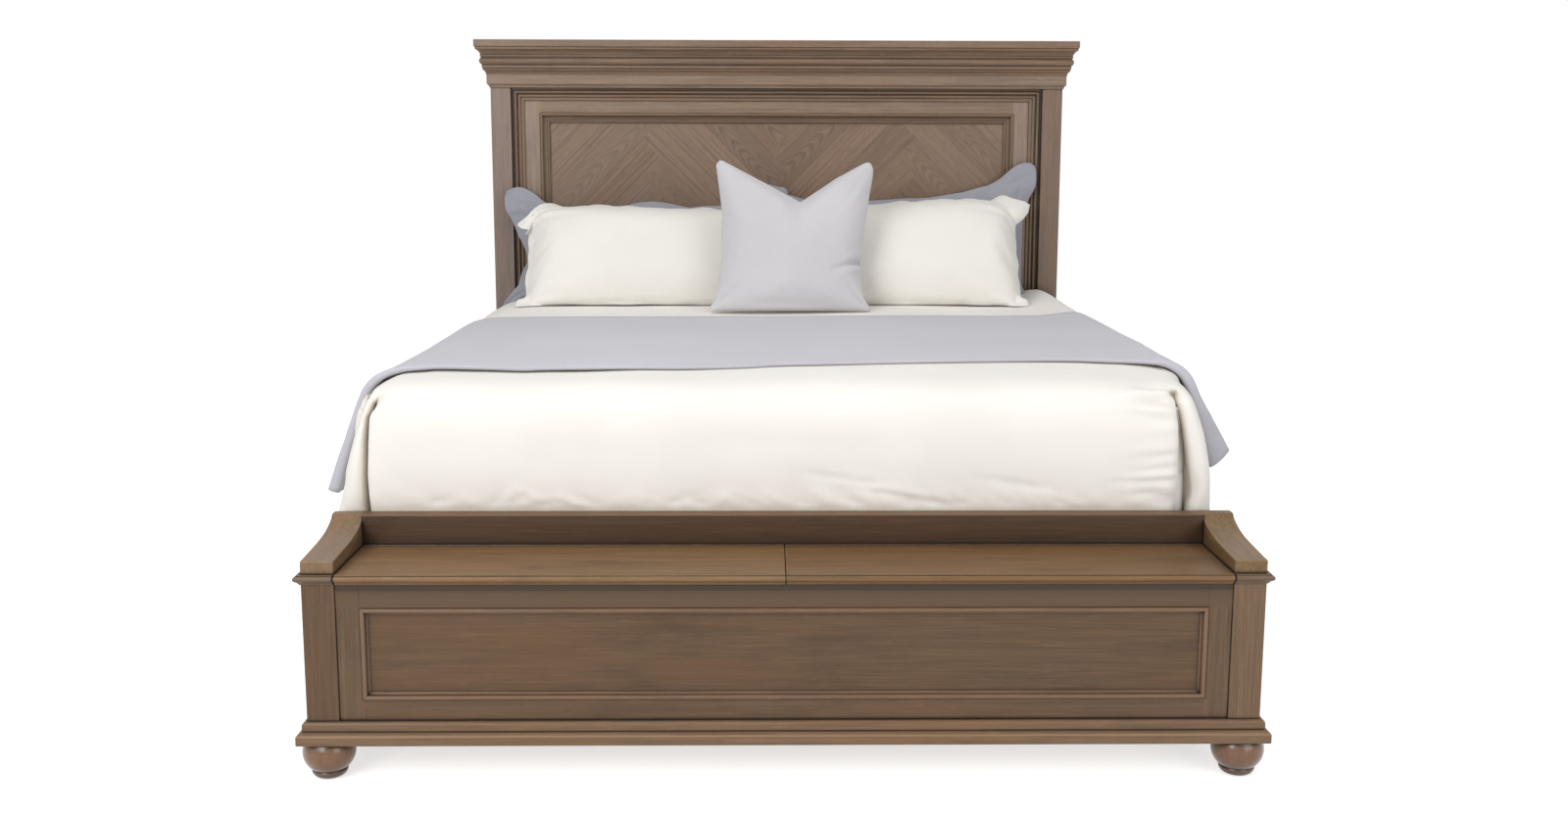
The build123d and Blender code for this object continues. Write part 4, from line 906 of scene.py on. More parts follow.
@dataclass
class Duvet:
    """Cotton duvet: tucked in at the foot, pleated at both corners and hanging at the sides.

    Attributes:
        half_top: half the width of its flat top.
        foot_top: the y at which the top starts to fall towards the foot.
        head: the y of its head end.
        left: the left side's fall, as outward reach and z.
        right: the right side's fall.
        foot: the foot's fall, as y and z.
        edges: each pleat's two lips by height, as z, the foot's |x| and the side's |x|; right, then left.
        opening: the z at which each pleat starts to open, and is open; right, then left.
        flare: how much further out each side hangs behind the corner; right, then left.
        pleat: the y depth of the pleat at each corner.
        fine: the spacing of the corners' grid lines.
        corner_lines: how many of them make each side of a corner.
        rows: how many rows hang from the top.
        top: the z of the flat top.
        tuck: the z at which the foot is tucked in.
        gathers: how many small folds rise from the tuck.
        drop: the cloth's length from the top's edge to the hem.
        pulls: the foot's folds, as x and z of the start and of the end, height and width.
        swells: the folds elsewhere, as start, end, height and width.
    """

    half_top: float = 0.86
    foot_top: float = -0.79
    head: float = 1.136
    left: Points = (
        (0.86, 0.85), (0.918, 0.843), (0.955, 0.826), (0.974, 0.808), (0.99, 0.769), (1.007, 0.727),
        (1.024, 0.667), (1.039, 0.607), (1.055, 0.546), (1.066, 0.499),
    )
    right: Points = (
        (0.86, 0.85), (0.905, 0.845), (0.934, 0.836), (0.955, 0.82), (0.979, 0.769), (0.996, 0.715),
        (1.011, 0.648), (1.016, 0.6), (1.02, 0.544), (1.023, 0.499),
    )
    foot: Points = (
        (-0.79, 0.85), (-0.848, 0.845), (-0.888, 0.826), (-0.908, 0.792), (-0.917, 0.75), (-0.9185, 0.7),
        (-0.917, 0.64), (-0.912, 0.59), (-0.9065, 0.562), (-0.902, 0.546), (-0.9, 0.525), (-0.8995, 0.485),
    )
    edges: tuple[tuple[Point, ...], ...] = (
        ((0.551, 0.919, 0.962), (0.575, 0.917, 0.969), (0.597, 0.918, 0.969), (0.636, 0.922, 0.961),
         (0.714, 0.925, 0.944), (0.760, 0.923, 0.935), (0.798, 0.917, 0.927)),
        ((0.550, 0.974, 0.986), (0.636, 0.976, 0.982), (0.712, 0.972, 0.978), (0.766, 0.966, 0.973),
         (0.796, 0.955, 0.963), (0.815, 0.949, 0.956)),
    )
    opening: Points = ((0.838, 0.800), (0.834, 0.775))
    flare: tuple[float, float] = (0.040, 0.026)
    pleat: float = 0.075
    fine: float = 0.006
    corner_lines: int = 14
    rows: int = 72
    top: float = 0.850
    tuck: float = 0.553
    gathers: int = 46
    drop: float = 0.44
    pulls: tuple[tuple[float, ...], ...] = (
        (0.926, 0.815, 0.894, 0.836, -0.012, 0.008), (0.894, 0.836, 0.83, 0.839, -0.012, 0.008),
        (0.906, 0.824, 0.8, 0.827, 0.012, 0.008), (0.908, 0.799, 0.884, 0.804, -0.012, 0.0075),
        (0.884, 0.804, 0.8, 0.811, -0.012, 0.0075), (0.904, 0.785, 0.78, 0.798, 0.0075, 0.0105),
        (0.918, 0.764, 0.846, 0.768, -0.0034, 0.008), (0.92, 0.745, 0.86, 0.738, 0.003, 0.012),
        (0.922, 0.685, 0.834, 0.674, -0.004, 0.008), (0.922, 0.7, 0.78, 0.69, 0.003, 0.014),
        (0.924, 0.652, 0.811, 0.639, -0.0045, 0.008), (0.922, 0.62, 0.759, 0.616, -0.004, 0.008),
        (0.924, 0.635, 0.8, 0.627, 0.0034, 0.01), (0.922, 0.575, 0.825, 0.589, -0.0045, 0.008),
        (0.918, 0.559, 0.85, 0.571, -0.004, 0.008), (0.922, 0.6, 0.85, 0.6, 0.004, 0.01),
        (-0.968, 0.8, -0.94, 0.765, -0.005, 0.01), (-0.82, 0.558, -0.77, 0.59, -0.004, 0.01),
        (-0.65, 0.558, -0.6, 0.592, -0.004, 0.011), (-0.577, 0.556, -0.505, 0.566, -0.004, 0.01),
        (-0.275, 0.556, -0.18, 0.6, -0.0034, 0.011), (0.405, 0.556, 0.27, 0.56, -0.0045, 0.008),
        (0.375, 0.562, 0.15, 0.605, -0.005, 0.009), (0.33, 0.58, 0.1, 0.628, 0.003, 0.011),
        (0.216, 0.609, 0.036, 0.64, -0.0045, 0.009), (0.621, 0.598, 0.44, 0.63, -0.0036, 0.01),
        (0.56, 0.56, 0.5, 0.6, 0.0036, 0.012), (0.911, 0.6, 0.781, 0.578, -0.003, 0.009),
    )
    swells: tuple[tuple[Point, Point, float, float], ...] = (
        ((-0.16, -0.9185, 0.72), (0.30, -0.9185, 0.70), -0.002, 0.03),
        ((-0.70, -0.9185, 0.74), (-0.30, -0.9185, 0.76), 0.0024, 0.05),
        ((-0.955, -1.00, 0.83), (-0.95, -0.56, 0.83), 0.013, 0.045),
        ((0.95, -0.96, 0.828), (0.955, -0.50, 0.835), 0.011, 0.05),
        ((-0.85, 0.46, 0.85), (-0.55, 0.56, 0.85), 0.004, 0.016),
        ((0.86, 0.45, 0.85), (0.62, 0.55, 0.85), 0.004, 0.015),
    )

    def rim(self, bm: bmesh.types.BMesh) -> list[bmesh.types.BMVert]:
        """Return the top's edge vertices in order: left side, foot, right side."""
        flat = bm.verts.layers.float_vector["flat"]
        low = min(vert.co.y for vert in bm.verts)
        edge = [v for v in bm.verts if abs(abs(v.co.x) - self.half_top) < 1e-5 or abs(v.co.y - low) < 1e-5]
        turn = 2 * self.half_top

        def order(vert: bmesh.types.BMVert) -> float:
            """Return a reading that grows round the edge."""
            x, y = vert[flat].x, vert[flat].y
            if abs(y - low) < 1e-5:
                return x
            return math.copysign(turn + (y - low), x)

        return sorted(edge, key=order)

    def corner(self, side: int, share: float) -> np.ndarray:
        """Return the plan of one corner at one level, from the foot round to the side.

        Args:
            side: -1 for the left corner, 1 for the right.
            share: how far down the level is, from 0 to 1.

        Returns:
            One (|x|, y) to each of the corner's lines.
        """
        x_side, z_side = self.falls[side].at(share)
        y_foot, z_foot = self.falls[0].at(share)
        level = 0.5 * (z_foot + z_side)
        opened = ramp(level, *self.opening[side < 0])
        heights, feet, lips = np.array(self.edges[side < 0]).T
        edge, lip = float(np.interp(level, heights, feet)), float(np.interp(level, heights, lips))
        gap = lip - edge
        count = 2 * self.corner_lines + 1
        start = self.half_top - self.fine * self.corner_lines
        stop = self.foot_top + self.fine * self.corner_lines
        past = min(x_side - self.half_top, self.foot_top - y_foot)
        reach = max(0.0005, min(0.46 * min(x_side - start, stop - y_foot) - 0.01, 2.5 * past))
        turn = 0.3 * reach
        plain = Line([
            (start, y_foot), (x_side - reach, y_foot), (x_side - turn, y_foot + turn),
            (x_side, y_foot + reach), (x_side, stop),
        ]).at(np.linspace(0, 1, count))
        inward = [
            (start, 0.0), (edge - 0.020, 0.0), (edge - 0.004, 0.003), (edge + 0.16 * gap, 0.014),
            (edge + 0.36 * gap, 0.034), (edge + 0.66 * gap, self.pleat - 0.012), (lip - 0.0005, self.pleat),
            (lip + 0.0015, self.pleat - 0.016), (lip + 0.0005, 0.034), (lip + 0.004, 0.015),
            (lip + 0.013, 0.008), (0.4 * lip + 0.6 * x_side, 0.012), (x_side - 0.004, 0.024), (x_side, 0.045),
        ]
        path = [(x, y_foot + deep) for x, deep in inward]
        folded = Line([*path, (x_side, stop)]).at(np.linspace(0, 1, count))
        return plain + opened * (folded - plain)

    def skirt(self, index: int, count: int, first: int, share: float, home: Vector) -> tuple[Vector, float]:
        """Place one vertex of a hanging row.

        Args:
            index: the vertex's number in the rim.
            count: how many vertices the rim has.
            first: the number of the foot's first vertex.
            share: how far down the row is, from 0 to 1.
            home: the vertex's place in the rim.

        Returns:
            Its place, and how much it belongs to a side.
        """
        side = 1 if home.x > 0 else -1
        fall = self.falls[side]
        x_side, z_side = fall.at(share)
        y_foot, z_foot = self.falls[0].at(share)
        turn = first if side < 0 else count - 1 - first
        steps = (turn - index if side < 0 else index - turn) + self.corner_lines
        if steps < 0:
            return Vector((home.x, y_foot, z_foot)), 0.0
        flare = self.flare[side < 0] * ramp(home.y, self.foot_top + 0.05, -0.60) * ramp(z_side, 0.849, 0.820)
        if steps > 2 * self.corner_lines:
            return Vector((side * (x_side + flare), home.y, z_side)), 1.0
        part = steps / (2 * self.corner_lines)
        opened = ramp(0.5 * (z_foot + z_side), *self.opening[side < 0])
        x, y = self.plans[side][round(share * self.rows)][steps]
        blend = ramp(part, 0.42 - 0.1 * (1 - opened), 0.58 + 0.1 * (1 - opened))
        return Vector((side * x, y, z_foot + blend * (z_side - z_foot))), blend

    def surface(self) -> bmesh.types.BMesh:
        """Make the outer surface: a grid whose rim is extruded down row by row."""
        self.falls = {-1: Line(self.left), 1: Line(self.right), 0: Line(self.foot)}
        shares = np.linspace(0, 1, self.rows + 1)
        self.plans = {side: [self.corner(side, float(share)) for share in shares] for side in (-1, 1)}
        columns = spaced(-self.half_top, self.half_top, 0.0125, self.fine, self.corner_lines)
        lines = spaced(self.foot_top, self.head, 0.0185, self.fine, self.corner_lines, both=False)
        bm = grid(columns, lines)
        flat = bm.verts.layers.float_vector["flat"]
        fill = bm.verts.layers.deform.verify()
        for vert in bm.verts:
            vert.co.z = self.top
            vert[fill][0] = 1.0
        ring = self.rim(bm)
        homes = [vert.co.copy() for vert in ring]
        flats = [vert[flat].copy() for vert in ring]
        left_corner = Vector((-self.half_top, self.foot_top, self.top))
        first = min(range(len(ring)), key=lambda number: (homes[number] - left_corner).length)
        edges = [bm.edges.get(pair) for pair in zip(ring, ring[1:])]
        for share in shares[1:]:
            made = set(bmesh.ops.extrude_edge_only(bm, edges=edges)["geom"])
            ring = [next(e.other_vert(v) for e in v.link_edges if e.other_vert(v) in made) for v in ring]
            edges = [bm.edges.get(pair) for pair in zip(ring, ring[1:])]
            for index, vert in enumerate(ring):
                vert.co, sided = self.skirt(index, len(ring), first, float(share), homes[index])
                reach = self.drop * float(share)
                turned = math.copysign(sided, homes[index].x)
                vert[flat] = flats[index] + Vector((turned * reach, -(1 - sided) * reach, 0))
                hem = math.sqrt(max(0.0, 1 - ((max(share, 0.9) - 0.9) / 0.101) ** 2))
                tuck = ramp(vert.co.z, 0.50, 0.66)
                vert[fill][0] = sided * (0.16 + 0.46 * hem) + (1 - sided) * (0.12 + 0.5 * tuck)
        bmesh.ops.recalc_face_normals(bm, faces=bm.faces)
        if sum(face.normal.z for face in bm.faces) < 0:
            bmesh.ops.reverse_faces(bm, faces=bm.faces)
        return bm

    def creases(self) -> list[Crease]:
        """Return the folds that the tucks and corners pull into the cloth."""
        pulls = list(self.pulls)
        for number in range(self.gathers):
            chance = [noise.noise(Vector((number * 1.73, part, 0.9))) for part in (0.3, 4.1, 8.7)]
            x = -0.93 + number * 0.041 + 0.02 * chance[0]
            rise = 0.035 + 0.06 * abs(chance[1]) + (0.012 if x > 0 else 0.0)
            height = (0.0026 + 0.0034 * abs(chance[0])) * (1 if number % 3 else -1)
            end_x = x + 0.18 * chance[2] - 0.03
            pulls.append((x, self.tuck, end_x, self.tuck + rise, height, 0.0080 + 0.006 * abs(chance[1])))
        fall = np.array(self.foot)[::-1]
        drawn = [
            Crease(*((x, float(np.interp(z, fall[:, 1], fall[:, 0])), z) for x, z in (start, end)), *size)
            for start, end, size in ((row[:2], row[2:4], row[4:]) for row in pulls)
        ]
        return drawn + [Crease(*swell) for swell in self.swells]

    def calm(self, places: np.ndarray) -> np.ndarray:
        """Return how much of its lift each place keeps: less under the throw, none in the tuck.

        Args:
            places: the duvet's places.

        Returns:
            One share to a place.
        """
        x, y, z = np.abs(places[:, 0]), places[:, 1], places[:, 2]
        free = np.clip((z - 0.548) / 0.018, 0.0, 1) * np.clip((0.87 - z) / 0.01, 0, 1)
        held = np.where(y < -0.89, free, 1.0)
        return held * np.where((y > -0.66) & (y < 0.40) & (x < 0.95), 0.35, 1.0)

    def build(self, material: bpy.types.Material) -> None:
        """Build the duvet."""
        piece = new_mesh(self.surface(), "duvet_cover")
        piece.vertex_groups.new(name="stuffing")
        places, normals = coordinates(piece.data), coordinates(piece.data, "normals")
        lift = sum(crease.lift(places, (1, 0.12, 1)) for crease in self.creases())
        lift = lift + ripples(places, (2.2, 2.2, 3.0), 0.006, 4.0)
        lift = lift + ripples(places, (6.0, 5.0, 9.0), 0.0022, 9.0)
        sides = np.clip((np.abs(places[:, 0]) - 0.96) / 0.08, 0, 1)
        sides = sides * np.clip((places[:, 1] + 0.72) / 0.3, 0, 1)
        below = np.clip((0.84 - places[:, 2]) / 0.3, 0, 1)
        lift = lift + sides * ripples(places, (0.4, 7.5, 0.8), 0.018, 2.0) * below
        lift = np.clip(lift * self.calm(places), -0.012, 0.016) + fullness(*places.T)
        put(piece.data, places + normals * lift[:, None])
        wadding = piece.modifiers.new("wadding", "SOLIDIFY")
        wadding.thickness = 0.046
        wadding.offset = -1
        wadding.vertex_group = "stuffing"
        wadding.thickness_vertex_group = 0.05
        fitted(piece, material, "cream_cotton", "duvet")


@dataclass
class Throw:
    """Ribbed blanket, folded once along its length and laid across the duvet.

    Attributes:
        left: the lower layer's path from the middle to the left hem, as outward reach and z.
        right: the same to the right hem.
        front: the y of the folded edge, as x and y.
        back: the y of the two open edges, as x and y.
        loops: the fold's radius, as x and radius.
        layer: the blanket's thickness.
        lag: how much of its longer way round the edge the upper layer takes up, left and right.
        width: its width when it is open.
        fold: how far to each side of the fold its rows lie closer together.
    """

    left: Points = (
        (0.0, 0.8515), (0.45, 0.8515), (0.8, 0.8515), (0.875, 0.851), (0.932, 0.8455), (0.978, 0.829),
        (1.006, 0.806), (1.024, 0.772), (1.044, 0.72), (1.061, 0.672), (1.078, 0.62), (1.098, 0.544),
    )
    right: Points = (
        (0.0, 0.8515), (0.45, 0.8515), (0.8, 0.8515), (0.885, 0.8515), (0.93, 0.8495), (0.963, 0.842),
        (0.992, 0.825), (1.013, 0.799), (1.034, 0.756), (1.055, 0.706), (1.074, 0.65), (1.092, 0.588),
    )
    front: Points = (
        (-1.45, -0.72), (-1.1, -0.722), (-0.96, -0.722), (-0.891, -0.717), (-0.833, -0.705),
        (-0.72, -0.716), (-0.638, -0.732), (-0.576, -0.72), (-0.384, -0.702), (-0.24, -0.702),
        (-0.095, -0.684), (0.002, -0.651), (0.15, -0.631), (0.3, -0.609), (0.451, -0.592), (0.604, -0.575),
        (0.737, -0.574), (0.84, -0.6), (0.897, -0.622), (0.96, -0.64), (1.1, -0.64), (1.45, -0.636),
    )
    back: Points = ((-1.45, 0.385), (-0.8, 0.352), (-0.2, 0.385), (0.5, 0.402), (1.45, 0.412))
    loops: Points = (
        (-1.34, 0.0135), (-1.22, 0.0105), (-1.12, 0.0095), (-1.04, 0.009), (-0.98, 0.008), (-0.92, 0.0064),
        (-0.82, 0.0042), (0.0, 0.0034), (0.86, 0.004), (0.92, 0.0065), (0.98, 0.0095), (1.03, 0.0112),
        (1.08, 0.0112), (1.14, 0.0155), (1.2, 0.0215), (1.26, 0.0275),
    )
    layer: float = 0.0032
    lag: tuple[float, float] = (0.06, 0.45)
    width: float = 2.15
    fold: float = 0.09

    def section(self, s: float, v: float, front: float, back: float, radius: float) -> tuple[float, float]:
        """Return where one thread of the folded blanket lies across it.

        Args:
            s: how far along the blanket it is.
            v: how far across it, from the fold: below 0 for the lower layer.
            front: the y of the folded edge.
            back: the y of the open edges.
            radius: the fold's radius.

        Returns:
            Its y, and its height over the lower layer.
        """
        half, bend = self.width / 2, math.pi * radius / 2
        if abs(v) < bend:
            angle = v / radius
            return front + 0.6 * radius * (1 - math.cos(angle)), radius * (1 + math.sin(angle))
        gone = (abs(v) - bend) / (half - bend)
        y = front + 0.6 * radius + gone * (back - front - 0.6 * radius - (0.012 if v > 0 else 0))
        if v < 0:
            return y, 0.0
        flat = 0.0045 + 0.0012 * noise.noise(Vector((s * 5, y * 6, 3)))
        return y, flat + (2 * radius - flat) * math.exp(-gone / 0.15)

    def build(self, material: bpy.types.Material) -> None:
        """Build the blanket."""
        ways = {-1: Line(self.left), 1: Line(self.right)}
        reach = {side: way.length for side, way in ways.items()}
        half, fold = self.width / 2, self.fold
        rows = np.concatenate([
            np.linspace(-half, -fold, 46, endpoint=False), np.linspace(-fold, fold, 33),
            np.linspace(fold, half, 47)[1:],
        ])
        bm = grid(np.linspace(-reach[-1], reach[1], 190), rows)
        front, back, loop = (Line(line, 16) for line in (self.front, self.back, self.loops))
        for vert in bm.verts:
            s, v = vert.co.x, vert.co.y
            side = 1 if s >= 0 else -1
            y, height = self.section(s, v, front.over(s), back.over(s), loop.over(s))
            share = abs(s) / reach[side]
            ahead = ways[side].at(min(1.0, share + 0.004)) - ways[side].at(max(0.0, share - 0.004))
            out = Vector((-ahead[1] * side, 0, ahead[0])).normalized()
            share = max(0.0, share - self.lag[side > 0] * height * math.acos(min(1.0, out.z)) / reach[side])
            x, z = ways[side].at(share)
            swell = 0.0022 * noise.noise(Vector((s * 3.1, y * 2.3, 1.7)))
            swell += ramp(abs(s), 0.95, 1.25) * 0.012 * noise.noise(Vector((s * 2.0, y * 5.5, 5.7)))
            lift = height + max(0.0, swell + 0.001) + float(fullness(side * x, y, z))
            vert.co = Vector((side * x, y, z)) + out * lift
        bmesh.ops.recalc_face_normals(bm, faces=bm.faces)
        piece = new_mesh(bm, "throw_folded")
        cloth = piece.modifiers.new("cloth", "SOLIDIFY")
        cloth.thickness = self.layer
        cloth.offset = 0
        fitted(piece, material, "ribbed_throw", "throw_blanket")


BED_EDGE = ((0.86, 0.918, 0.955, 0.985, 1.02), (0.0, 0.007, 0.024, 0.050, 0.110))


@dataclass(frozen=True)
class Outline:
    """The sewn edge of a pillow as it stands on the bed.

    Attributes:
        top: the top edge, as x and z.
        left: the left edge, as z and x.
        right: the right edge, as z and x.
    """

    top: Points
    left: Points
    right: Points


@dataclass
class Pillow:
    """A stuffed cover: two panels sewn round their edge, filled, and leant back on the bed.

    Attributes:
        name: the piece's name.
        node: the CAD node that it stands for.
        slot: the record's material slot.
        width: the filled part's width.
        height: its height up its own slope.
        thickness: its thickness when full.
        middle: its middle's x.
        seat: its lower edge's y.
        lean: its slope, in degrees from the bed.
        flange: how far the flat border reaches past the stitching.
        cell: the spacing of the cover's points.
        pressure: how hard the filling pushes.
        draw: how much of the sewn edge's drawing in is kept.
        fill: how full it is; it is not used.
        bed: the z that it rests on.
        outline: its sewn edge as it stands.
        bend: how far the border is turned back, in degrees.
        ears: how far the border turns down at the outer upper corner, and up at the lower one, in degrees.
        spread: how much longer the border is at the outer upper corner.
        ear_start: how far up, from 0 at the middle to 1, the outer upper ear starts.
        notch: how deep a chop dents the middle of its top.
        folds: creases in the pillow's own plane.
        seed: which ripples it has.
        steps: the most steps that the filling takes.
        seam: how far the panels lie apart at the flat edge.
        border_rows: how many rows of faces the border has.
    """

    name: str
    node: str
    slot: str
    width: float
    height: float
    thickness: float
    middle: float
    seat: float
    lean: float
    flange: float = 0.0
    cell: float = 0.0135
    pressure: float = 3.0
    draw: float = 0.35
    fill: float = 0.6
    bed: float = 0.8515
    outline: Outline | None = None
    bend: float = 72.0
    ears: tuple[float, float] = (0.0, 0.0)
    spread: float = 0.3
    ear_start: float = 0.66
    notch: float = 0.0
    folds: tuple[Crease, ...] = ()
    seed: float = 1.0
    steps: int = 24
    seam: float = 0.006
    border_rows: int = 5

    def blank(self) -> tuple[bmesh.types.BMesh, list[int]]:
        """Make the two flat panels, joined by a narrow band.

        Returns:
            The bmesh, and the numbers of the band's faces.
        """
        across = np.linspace(-self.width / 2, self.width / 2, 1 + round(self.width / self.cell))
        up = np.linspace(-self.height / 2, self.height / 2, 1 + round(self.height / self.cell))
        bm = grid(across, up)
        bmesh.ops.solidify(bm, geom=list(bm.faces), thickness=self.seam)
        bmesh.ops.recalc_face_normals(bm, faces=bm.faces)
        settle(bm)
        middle = sum(vert.co.z for vert in bm.verts) / len(bm.verts)
        share = 0.3
        for vert in bm.verts:
            u, v = 2 * vert.co.x / self.width, 2 * vert.co.y / self.height
            swell = max(0.0, 1 - u**4) ** 0.6 * max(0.0, 1 - v**4) ** 0.6
            vert.co.z -= middle
            vert.co.z += math.copysign(share * 0.5 * self.thickness * swell, vert.co.z)
        narrow = [face for face in bm.faces if face.calc_area() < 0.02 * self.cell]
        band = [face.index for face in narrow if abs(face.normal.z) < 0.3]
        return bm, band

    def plump(self, bm: bmesh.types.BMesh) -> None:
        """Fill the cover by cloth simulation and read the result back.

        Args:
            bm: the flat cover; its vertices are moved.
        """
        mesh = bpy.data.meshes.new("cover")
        bm.to_mesh(mesh)
        cover = bpy.data.objects.new("cover", mesh)
        scene = bpy.context.scene
        scene.collection.objects.link(cover)
        cloth = cover.modifiers.new("filling", "CLOTH")
        settings = cloth.settings
        settings.quality = 6
        settings.mass = 0.15
        settings.tension_stiffness = settings.compression_stiffness = 22
        settings.shear_stiffness = 6
        settings.bending_stiffness = 0.35
        settings.tension_damping = settings.compression_damping = 8
        settings.use_pressure = True
        settings.uniform_pressure_force = self.pressure
        settings.effector_weights.gravity = 0
        cloth.point_cache.frame_start, cloth.point_cache.frame_end = 1, self.steps
        for frame in range(1, self.steps + 1):
            scene.frame_set(frame)
            shown = cover.evaluated_get(bpy.context.evaluated_depsgraph_get())
            filled = coordinates(shown.data).copy()
            if np.ptp(filled[:, 2]) >= self.thickness:
                break
        LOG.info("%s: filled in %d steps, %.3f m thick", self.name, frame, np.ptp(filled[:, 2]))
        for vert, place in zip(bm.verts, filled, strict=True):
            vert.co.x += self.draw * (place[0] - vert.co.x)
            vert.co.y += self.draw * (place[1] - vert.co.y)
            vert.co.z = place[2]
        scene.frame_set(1)
        bpy.data.objects.remove(cover)

    def sized(self, bm: bmesh.types.BMesh) -> None:
        """Scale the filled cover to its measures."""
        for axis, want in enumerate((self.width, self.height, self.thickness)):
            values = [vert.co[axis] for vert in bm.verts]
            low, high = min(values), max(values)
            for vert in bm.verts:
                vert.co[axis] = (vert.co[axis] - 0.5 * (low + high)) * want / (high - low)

    def border(self, bm: bmesh.types.BMesh, band: Sequence[int]) -> None:
        """Extrude the flat border from the sewn edge.

        Args:
            bm: the filled cover.
            band: the numbers of the band's faces.
        """
        bm.faces.ensure_lookup_table()
        faces = [bm.faces[number] for number in band]
        flat, seam = bm.verts.layers.float_vector["flat"], bm.verts.layers.float_vector.new("seam")
        for vert in bm.verts:
            vert[seam] = vert.co
        side, rows = math.copysign(1, self.middle), self.border_rows
        for step in range(1, rows + 1):
            made = bmesh.ops.extrude_face_region(bm, geom=faces)["geom"]
            bmesh.ops.delete(bm, geom=faces, context="FACES_ONLY")
            faces = [item for item in made if isinstance(item, bmesh.types.BMFace)]
            past = self.flange * step / rows
            for vert in (item for item in made if isinstance(item, bmesh.types.BMVert)):
                u = min(1.0, max(-1.0, 2 * vert[flat].x / self.width))
                v = min(1.0, max(-1.0, 2 * vert[flat].y / self.height))
                aim = Vector((math.copysign(abs(u) ** 60, u), math.copysign(abs(v) ** 60, v), 0))
                upper = ramp(side * u, 0.80, 0.97) * ramp(v, self.ear_start, self.ear_start + 0.25)
                lower = ramp(side * u, 0.86, 0.98) * ramp(v, -0.72, -0.92)
                bend = math.radians(self.bend) * (1 - upper) * (1 - lower)
                turn = math.radians(self.ears[0] * upper - self.ears[1] * lower) * side
                move = Matrix.Rotation(-turn, 3, "Z") @ aim * (past * (1 + self.spread * upper))
                x, y = vert[flat].xy
                wave = 0.16 * math.sin(21 * x + 1.7 * side) + 0.13 * math.sin(38 * y + 2 * side)
                lift = past * (wave + 0.12 * math.sin(47 * x + side)) - past * math.sin(bend)
                base = vert[seam]
                vert.co = Vector((base[0], base[1], base[2] * 0.75**step + lift)) + move * math.cos(bend)
                vert[flat] = vert[flat] + aim * (self.flange / rows)
        bmesh.ops.remove_doubles(bm, verts=bm.verts, dist=1e-5)

    def stood(self, places: np.ndarray) -> np.ndarray:
        """Lean the filled cover back on the bed and bring its sewn edge to its outline.

        Args:
            places: the cover's places in its own plane.

        Returns:
            The places on the bed.
        """
        tilt = math.radians(self.lean)
        x, slope, out = self.middle + places[:, 0], places[:, 1] + self.height / 2, places[:, 2]
        if self.outline:
            upward = np.clip(slope / self.height, 0, 1)
            top_x, top_z = np.array(self.outline.top).T
            want = (np.interp(x, top_x, top_z) - self.bed) / math.sin(tilt)
            level = self.bed + math.sin(tilt) * (slope + (want - self.height) * upward**1.6)
            for side, line in ((-1, self.outline.left), (1, self.outline.right)):
                side_z, side_x = np.array(line).T
                outward = np.clip(2 * side * places[:, 0] / self.width, 0, 1) ** 2
                x = x + outward * (np.interp(level, side_z, side_x) - self.middle - side * self.width / 2)
            want = (np.interp(x, top_x, top_z) - self.bed) / math.sin(tilt)
            slope = slope + (want - self.height) * upward**1.6
            if self.notch:
                dip = np.exp(-(((x - self.middle - 0.02) / 0.05) ** 2)) * np.clip(upward * 2 - 1, 0, 1) ** 1.5
                out = out * (1 - self.notch * dip)
        rise = np.array([0, math.cos(tilt), math.sin(tilt)])
        forward = np.array([0, -math.sin(tilt), math.cos(tilt)])
        world = np.array([0, self.seat, self.bed - 0.0015]) + x[:, None] * np.array([1.0, 0, 0])
        world = world + slope[:, None] * rise + out[:, None] * forward
        drop = np.interp(np.abs(world[:, 0]), *BED_EDGE)
        world[:, 2] -= drop * np.exp(-np.clip(slope, 0, 1) / 0.05)
        soft, rest = 0.012, self.bed - drop
        over = world[:, 2] - rest
        sunk = over < soft
        world[sunk, 2] = (rest + soft * np.exp((over - soft) / soft))[sunk]
        return world

    def build(self, material: bpy.types.Material) -> None:
        """Build the pillow."""
        bm, band = self.blank()
        self.plump(bm)
        self.sized(bm)
        if self.flange:
            self.border(bm, band)
        bmesh.ops.recalc_face_normals(bm, faces=bm.faces)
        piece = new_mesh(bm, self.name)
        rounder = piece.modifiers.new("rounder", "SUBSURF")
        rounder.levels = rounder.render_levels = 1
        fine = bpy.data.meshes.new_from_object(piece.evaluated_get(bpy.context.evaluated_depsgraph_get()))
        piece.modifiers.clear()
        piece.data = fine
        places, normals = coordinates(fine), coordinates(fine, "normals")
        lift = ripples(places, (6.0, 6.0, 4.0), 0.0035, self.seed)
        for fold in self.folds:
            lift = lift + fold.lift(places, (1, 1, 0)) * (normals[:, 2] > 0)
        put(fine, self.stood(places + normals * lift[:, None]))
        fitted(piece, material, self.slot, self.node)


